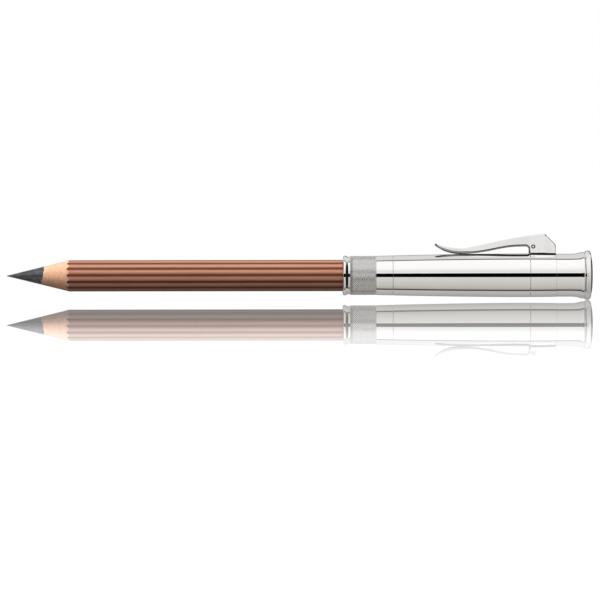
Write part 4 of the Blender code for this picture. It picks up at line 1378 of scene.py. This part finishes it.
def show(owner, kind, source):
    """Links a source to the surface of a material or world."""
    node = owner.node_tree.nodes.new("ShaderNodeOutput" + kind)
    owner.node_tree.links.new(source, node.inputs["Surface"])


def part_of(owner, vector, axis):
    return socket(owner, "SeparateXYZ", links={0: vector}, output=axis)


def maths(owner, operation, first, second=None, number=0.0):
    """A sum on one or two linked sources; the number stands in for a second that isn't given."""
    links = {0: first} if second is None else {0: first, 1: second}
    return socket(owner, "Math", {1: number}, links, operation=operation)


def either(owner, share, first, second):
    """One shader where the share is 0 and another where it is 1."""
    return socket(owner, "MixShader", links={0: share, 1: first, 2: second})


def covered(owner, share, first, colour):
    """A linked colour that gives way to a plain one as the share grows."""
    return socket(owner, "Mix", {"B": colour}, {"Factor": share, "A": first}, "Result", data_type="RGBA")


FLOOR_HALF = 3.0
FLOOR_TONE = (0.14, 0.138, 0.135, 1.0)
FLOOR_GLOW = 0.84
FLOOR_SHADOW = (0.18, 0.18, 0.18, 1.0)
FLOOR_IOR = 1.40
GLOSS_NEAR = 0.93
GLOSS_FAR = 0.0
GLOSS_EDGE = 0.30
GLOSS_REACH = 0.72


def floor():
    """A pale plain floor. The camera sees it white, with the object's shadow and a fading reflection."""
    h = FLOOR_HALF
    mesh = clean_mesh("floor", [(-h, -h, 0), (h, -h, 0), (h, h, 0), (-h, h, 0)], [(0, 1, 2, 3)])
    ob = new_object("floor", mesh)
    made = emptied(bpy.data.materials.new("floor"))
    glow = socket(made, "Emission", {"Strength": FLOOR_GLOW})
    shadowed = socket(made, "BsdfDiffuse", {"Color": FLOOR_SHADOW})
    pale = socket(made, "AddShader", links={0: glow, 1: shadowed})
    gloss = socket(made, "BsdfGlossy", {"Color": (*WHITE, 1.0), "Roughness": 0.0})
    y = part_of(made, socket(made, "NewGeometry", output="Position"), "Y")
    fade = spread(made, y, GLOSS_FAR, GLOSS_NEAR, (-GLOSS_REACH, -GLOSS_EDGE))
    share = maths(made, "MULTIPLY", socket(made, "Fresnel", {"IOR": FLOOR_IOR}), fade)
    plain = socket(made, "BsdfDiffuse", {"Color": FLOOR_TONE})
    to_camera = socket(made, "LightPath", output="Is Camera Ray")
    show(made, "Material", either(made, to_camera, plain, either(made, share, pale, gloss)))
    mesh.materials.append(made)
    ob.visible_glossy = False


# Brightness of the studio round the pencil, by degrees about its axis from the camera's side up and over
WARM = (1.0, 0.965, 0.93)
STUDIO = (
    (-180, 0.27),
    (-100, 0.50),
    (-93.5, 0.52),
    (-92, 0.07),
    (-82.5, 0.07),
    (-81, 0.42),
    (-60, 0.54),
    (-30, 0.63),
    (-14, 0.67),
    (-10.2, 0.80),
    (-9.2, 0.001),
    (11.2, 0.001),
    (12.2, 0.96),
    (15, 0.82),
    (19, 0.75),
    (26, 0.82),
    (42, 0.98),
    (62, 1.0),
    (91.8, 1.0),
    (92.8, 0.07),
    (98.6, 0.07),
    (99.8, 0.70),
    (150, 0.70),
    (153, 0.20),
    (162, 0.20),
    (168, 0.9),
    (180, 1.0),
)
# Share of that brightness that is left, by how far a direction points along X
SIDE_DARK = (
    (-0.985, 0.7),
    (-0.94, 0.35),
    (-0.70, 0.35),
    (-0.60, 1.0),
    (0.57, 1.0),
    (0.63, 0.45),
    (0.94, 0.45),
    (0.985, 0.7),
)
# The dark patch behind the knob's end: where it sets in along X, Y and the height about END_RISE
END_DARK = ((0.07, 0.09), (0.2, 0.3), (0.40, 0.25))
END_RISE = 0.12
END_LEVEL = (0.05, 0.05, 0.05, 1.0)


def studio():
    """Soft light from long boxes above the pencil, with a dark gap at the camera and dimmer sides."""
    world = emptied(bpy.data.worlds.new("studio"))
    bpy.context.scene.world = world
    way = socket(world, "TexCoord", output="Generated")
    x, y, z = [part_of(world, way, axis) for axis in "XYZ"]
    angle = maths(world, "ARCTAN2", z, maths(world, "MULTIPLY", y, number=-1.0))
    stops = []
    for degrees, bright in STUDIO:
        tint = WARM if degrees < 0 else WHITE
        stops.append(((degrees + 180) / 360, [bright * t for t in tint]))
    boxes = ramp(world, spread(world, angle, inside=(-math.pi, math.pi)), stops)
    height = maths(world, "ABSOLUTE", maths(world, "SUBTRACT", z, number=END_RISE))
    near = [spread(world, source, inside=edges) for source, edges in zip((x, y, height), END_DARK)]
    behind = maths(world, "MULTIPLY", maths(world, "MULTIPLY", near[0], near[1]), near[2])
    around = covered(world, behind, boxes, END_LEVEL)
    stops = [((place + 1) / 2, [bright] * 3) for place, bright in SIDE_DARK]
    sides = ramp(world, spread(world, x, inside=(-1.0, 1.0)), stops)
    to_camera = socket(world, "LightPath", output="Is Camera Ray")
    seen = covered(world, to_camera, multiplied(world, around, sides), (*WHITE, 1.0))
    show(world, "World", socket(world, "Background", links={"Color": seen}))


KEY_STRENGTH = 2.8
KEY_SOFTNESS = math.radians(50)
KEY_TILT = math.radians(27)


def key_light():
    """A broad soft light from above the camera, kept out of the polished metal."""
    light = bpy.data.lights.new("key", "SUN")
    light.energy = KEY_STRENGTH
    light.angle = KEY_SOFTNESS
    ob = new_object("key", light)
    ob.rotation_euler = (KEY_TILT, 0, 0)
    ob.visible_glossy = False


# Cards that stand about the axis; turns in degrees, and (x, radius) of each card's inner edge
CARD_TURN = range(-70, 80, 5)
CARD_OUTER_R = 14.0 * MM
CARD_LEAN = 0.22
CARD_CLEARANCE = 0.05 * MM
CARD_FRONT_GAP = 0.45 * MM
CARD_REAR_GAP = 0.55 * MM
CARD_FRONT = (high("end_knob").x - BEAD_HALF_W - CARD_FRONT_GAP, BEAD_CREST + CARD_CLEARANCE)
CARD_REAR = (high("end_disc").x + CARD_REAR_GAP, 7.0 * MM)
CARD_RISE = (0.002, 0.0115)
CARD_LEVELS = (0.40, 0.88)
FLAG = (X_MOUTH + 3.0 * MM, 6.0 * MM)
FLAG_R = 8.0 * MM
FLAG_TURN = range(-66, 72, 6)
FLAG_FALL = 1.22 * MM
FLAG_LEVELS = (0.01, 0.01)


def card_paint(name, levels):
    """Paint that changes level towards the top, on one side of a card that is clear from its other side."""
    made = emptied(bpy.data.materials.new(name))
    height = part_of(made, socket(made, "NewGeometry", output="Position"), "Z")
    glow = socket(made, "Emission", links={"Strength": spread(made, height, *levels, CARD_RISE)})
    rear_side = socket(made, "NewGeometry", output="Backfacing")
    show(made, "Material", either(made, rear_side, glow, socket(made, "BsdfTransparent")))
    return made


def card(name, foot, tops, turns, faces_rear, paint):
    """Part of a ring about the pencil's axis, which only the polished metal beside it sees.

    foot is the (x, radius) of its inner edge, and tops those of its outer edge at each turn in degrees.
    """
    count = len(turns)
    points = [round_the_axis(*foot, math.radians(turn)) for turn in turns]
    points += [round_the_axis(*top, math.radians(turn)) for top, turn in zip(tops, turns)]
    quads = [(i, i + 1, count + i + 1, count + i) for i in range(count - 1)]
    mesh = bpy.data.meshes.new(name)
    mesh.from_pydata(points, [], quads if faces_rear else [quad[::-1] for quad in quads])
    mesh.materials.append(paint)
    ob = new_object(name, mesh)
    ob.visible_camera = False
    ob.visible_diffuse = False
    ob.visible_shadow = False
    ob.visible_transmission = False


def leaned(x, foot, radius):
    """Where a card that stands at x and leans forward from its foot reaches the radius."""
    return x - CARD_LEAN * (radius - foot), radius


def bead_cards():
    """Pale cards to both sides of the knob's bead."""
    paint = card_paint("pale_card", CARD_LEVELS)
    many = len(CARD_TURN)
    card("card_front", CARD_FRONT, [(CARD_FRONT[0], CARD_OUTER_R)] * many, CARD_TURN, True, paint)
    card("card_rear", CARD_REAR, [leaned(*CARD_REAR, CARD_OUTER_R)] * many, CARD_TURN, False, paint)


def mouth_flag():
    """A dark card behind the mouth's groove, lower towards its ends."""
    last = FLAG_TURN[-1]
    tops = [leaned(*FLAG, FLAG_R - FLAG_FALL * (turn / last) ** 2) for turn in FLAG_TURN]
    card("flag", FLAG, tops, FLAG_TURN, False, card_paint("dark_card", FLAG_LEVELS))


CAMERA_FAR = 1.6
CAMERA_LENS = 320.0
CAMERA_SENSOR_W = 36.0
CAMERA_CLIP = 50.0
CAMERA_RISE = math.radians(1.0)
CAMERA_ROLL = math.radians(0.08)
CAMERA_AIM = Vector((0.0002, 0.0, 0.000075))


def camera():
    made = bpy.data.cameras.new("camera")
    made.sensor_width = CAMERA_SENSOR_W
    made.lens = CAMERA_LENS
    made.clip_end = CAMERA_CLIP
    ob = new_object("camera", made)
    back = Vector((0, -math.cos(CAMERA_RISE), math.sin(CAMERA_RISE)))
    ob.location = CAMERA_AIM + back * CAMERA_FAR
    look = (-back).to_track_quat("-Z", "Y").to_matrix()
    ob.rotation_euler = (look @ Matrix.Rotation(-CAMERA_ROLL, 3, "Z")).to_euler()
    bpy.context.scene.camera = ob


floor()
studio()
key_light()
bead_cards()
mouth_flag()
camera()
bpy.context.scene.view_settings.view_transform = "Standard"
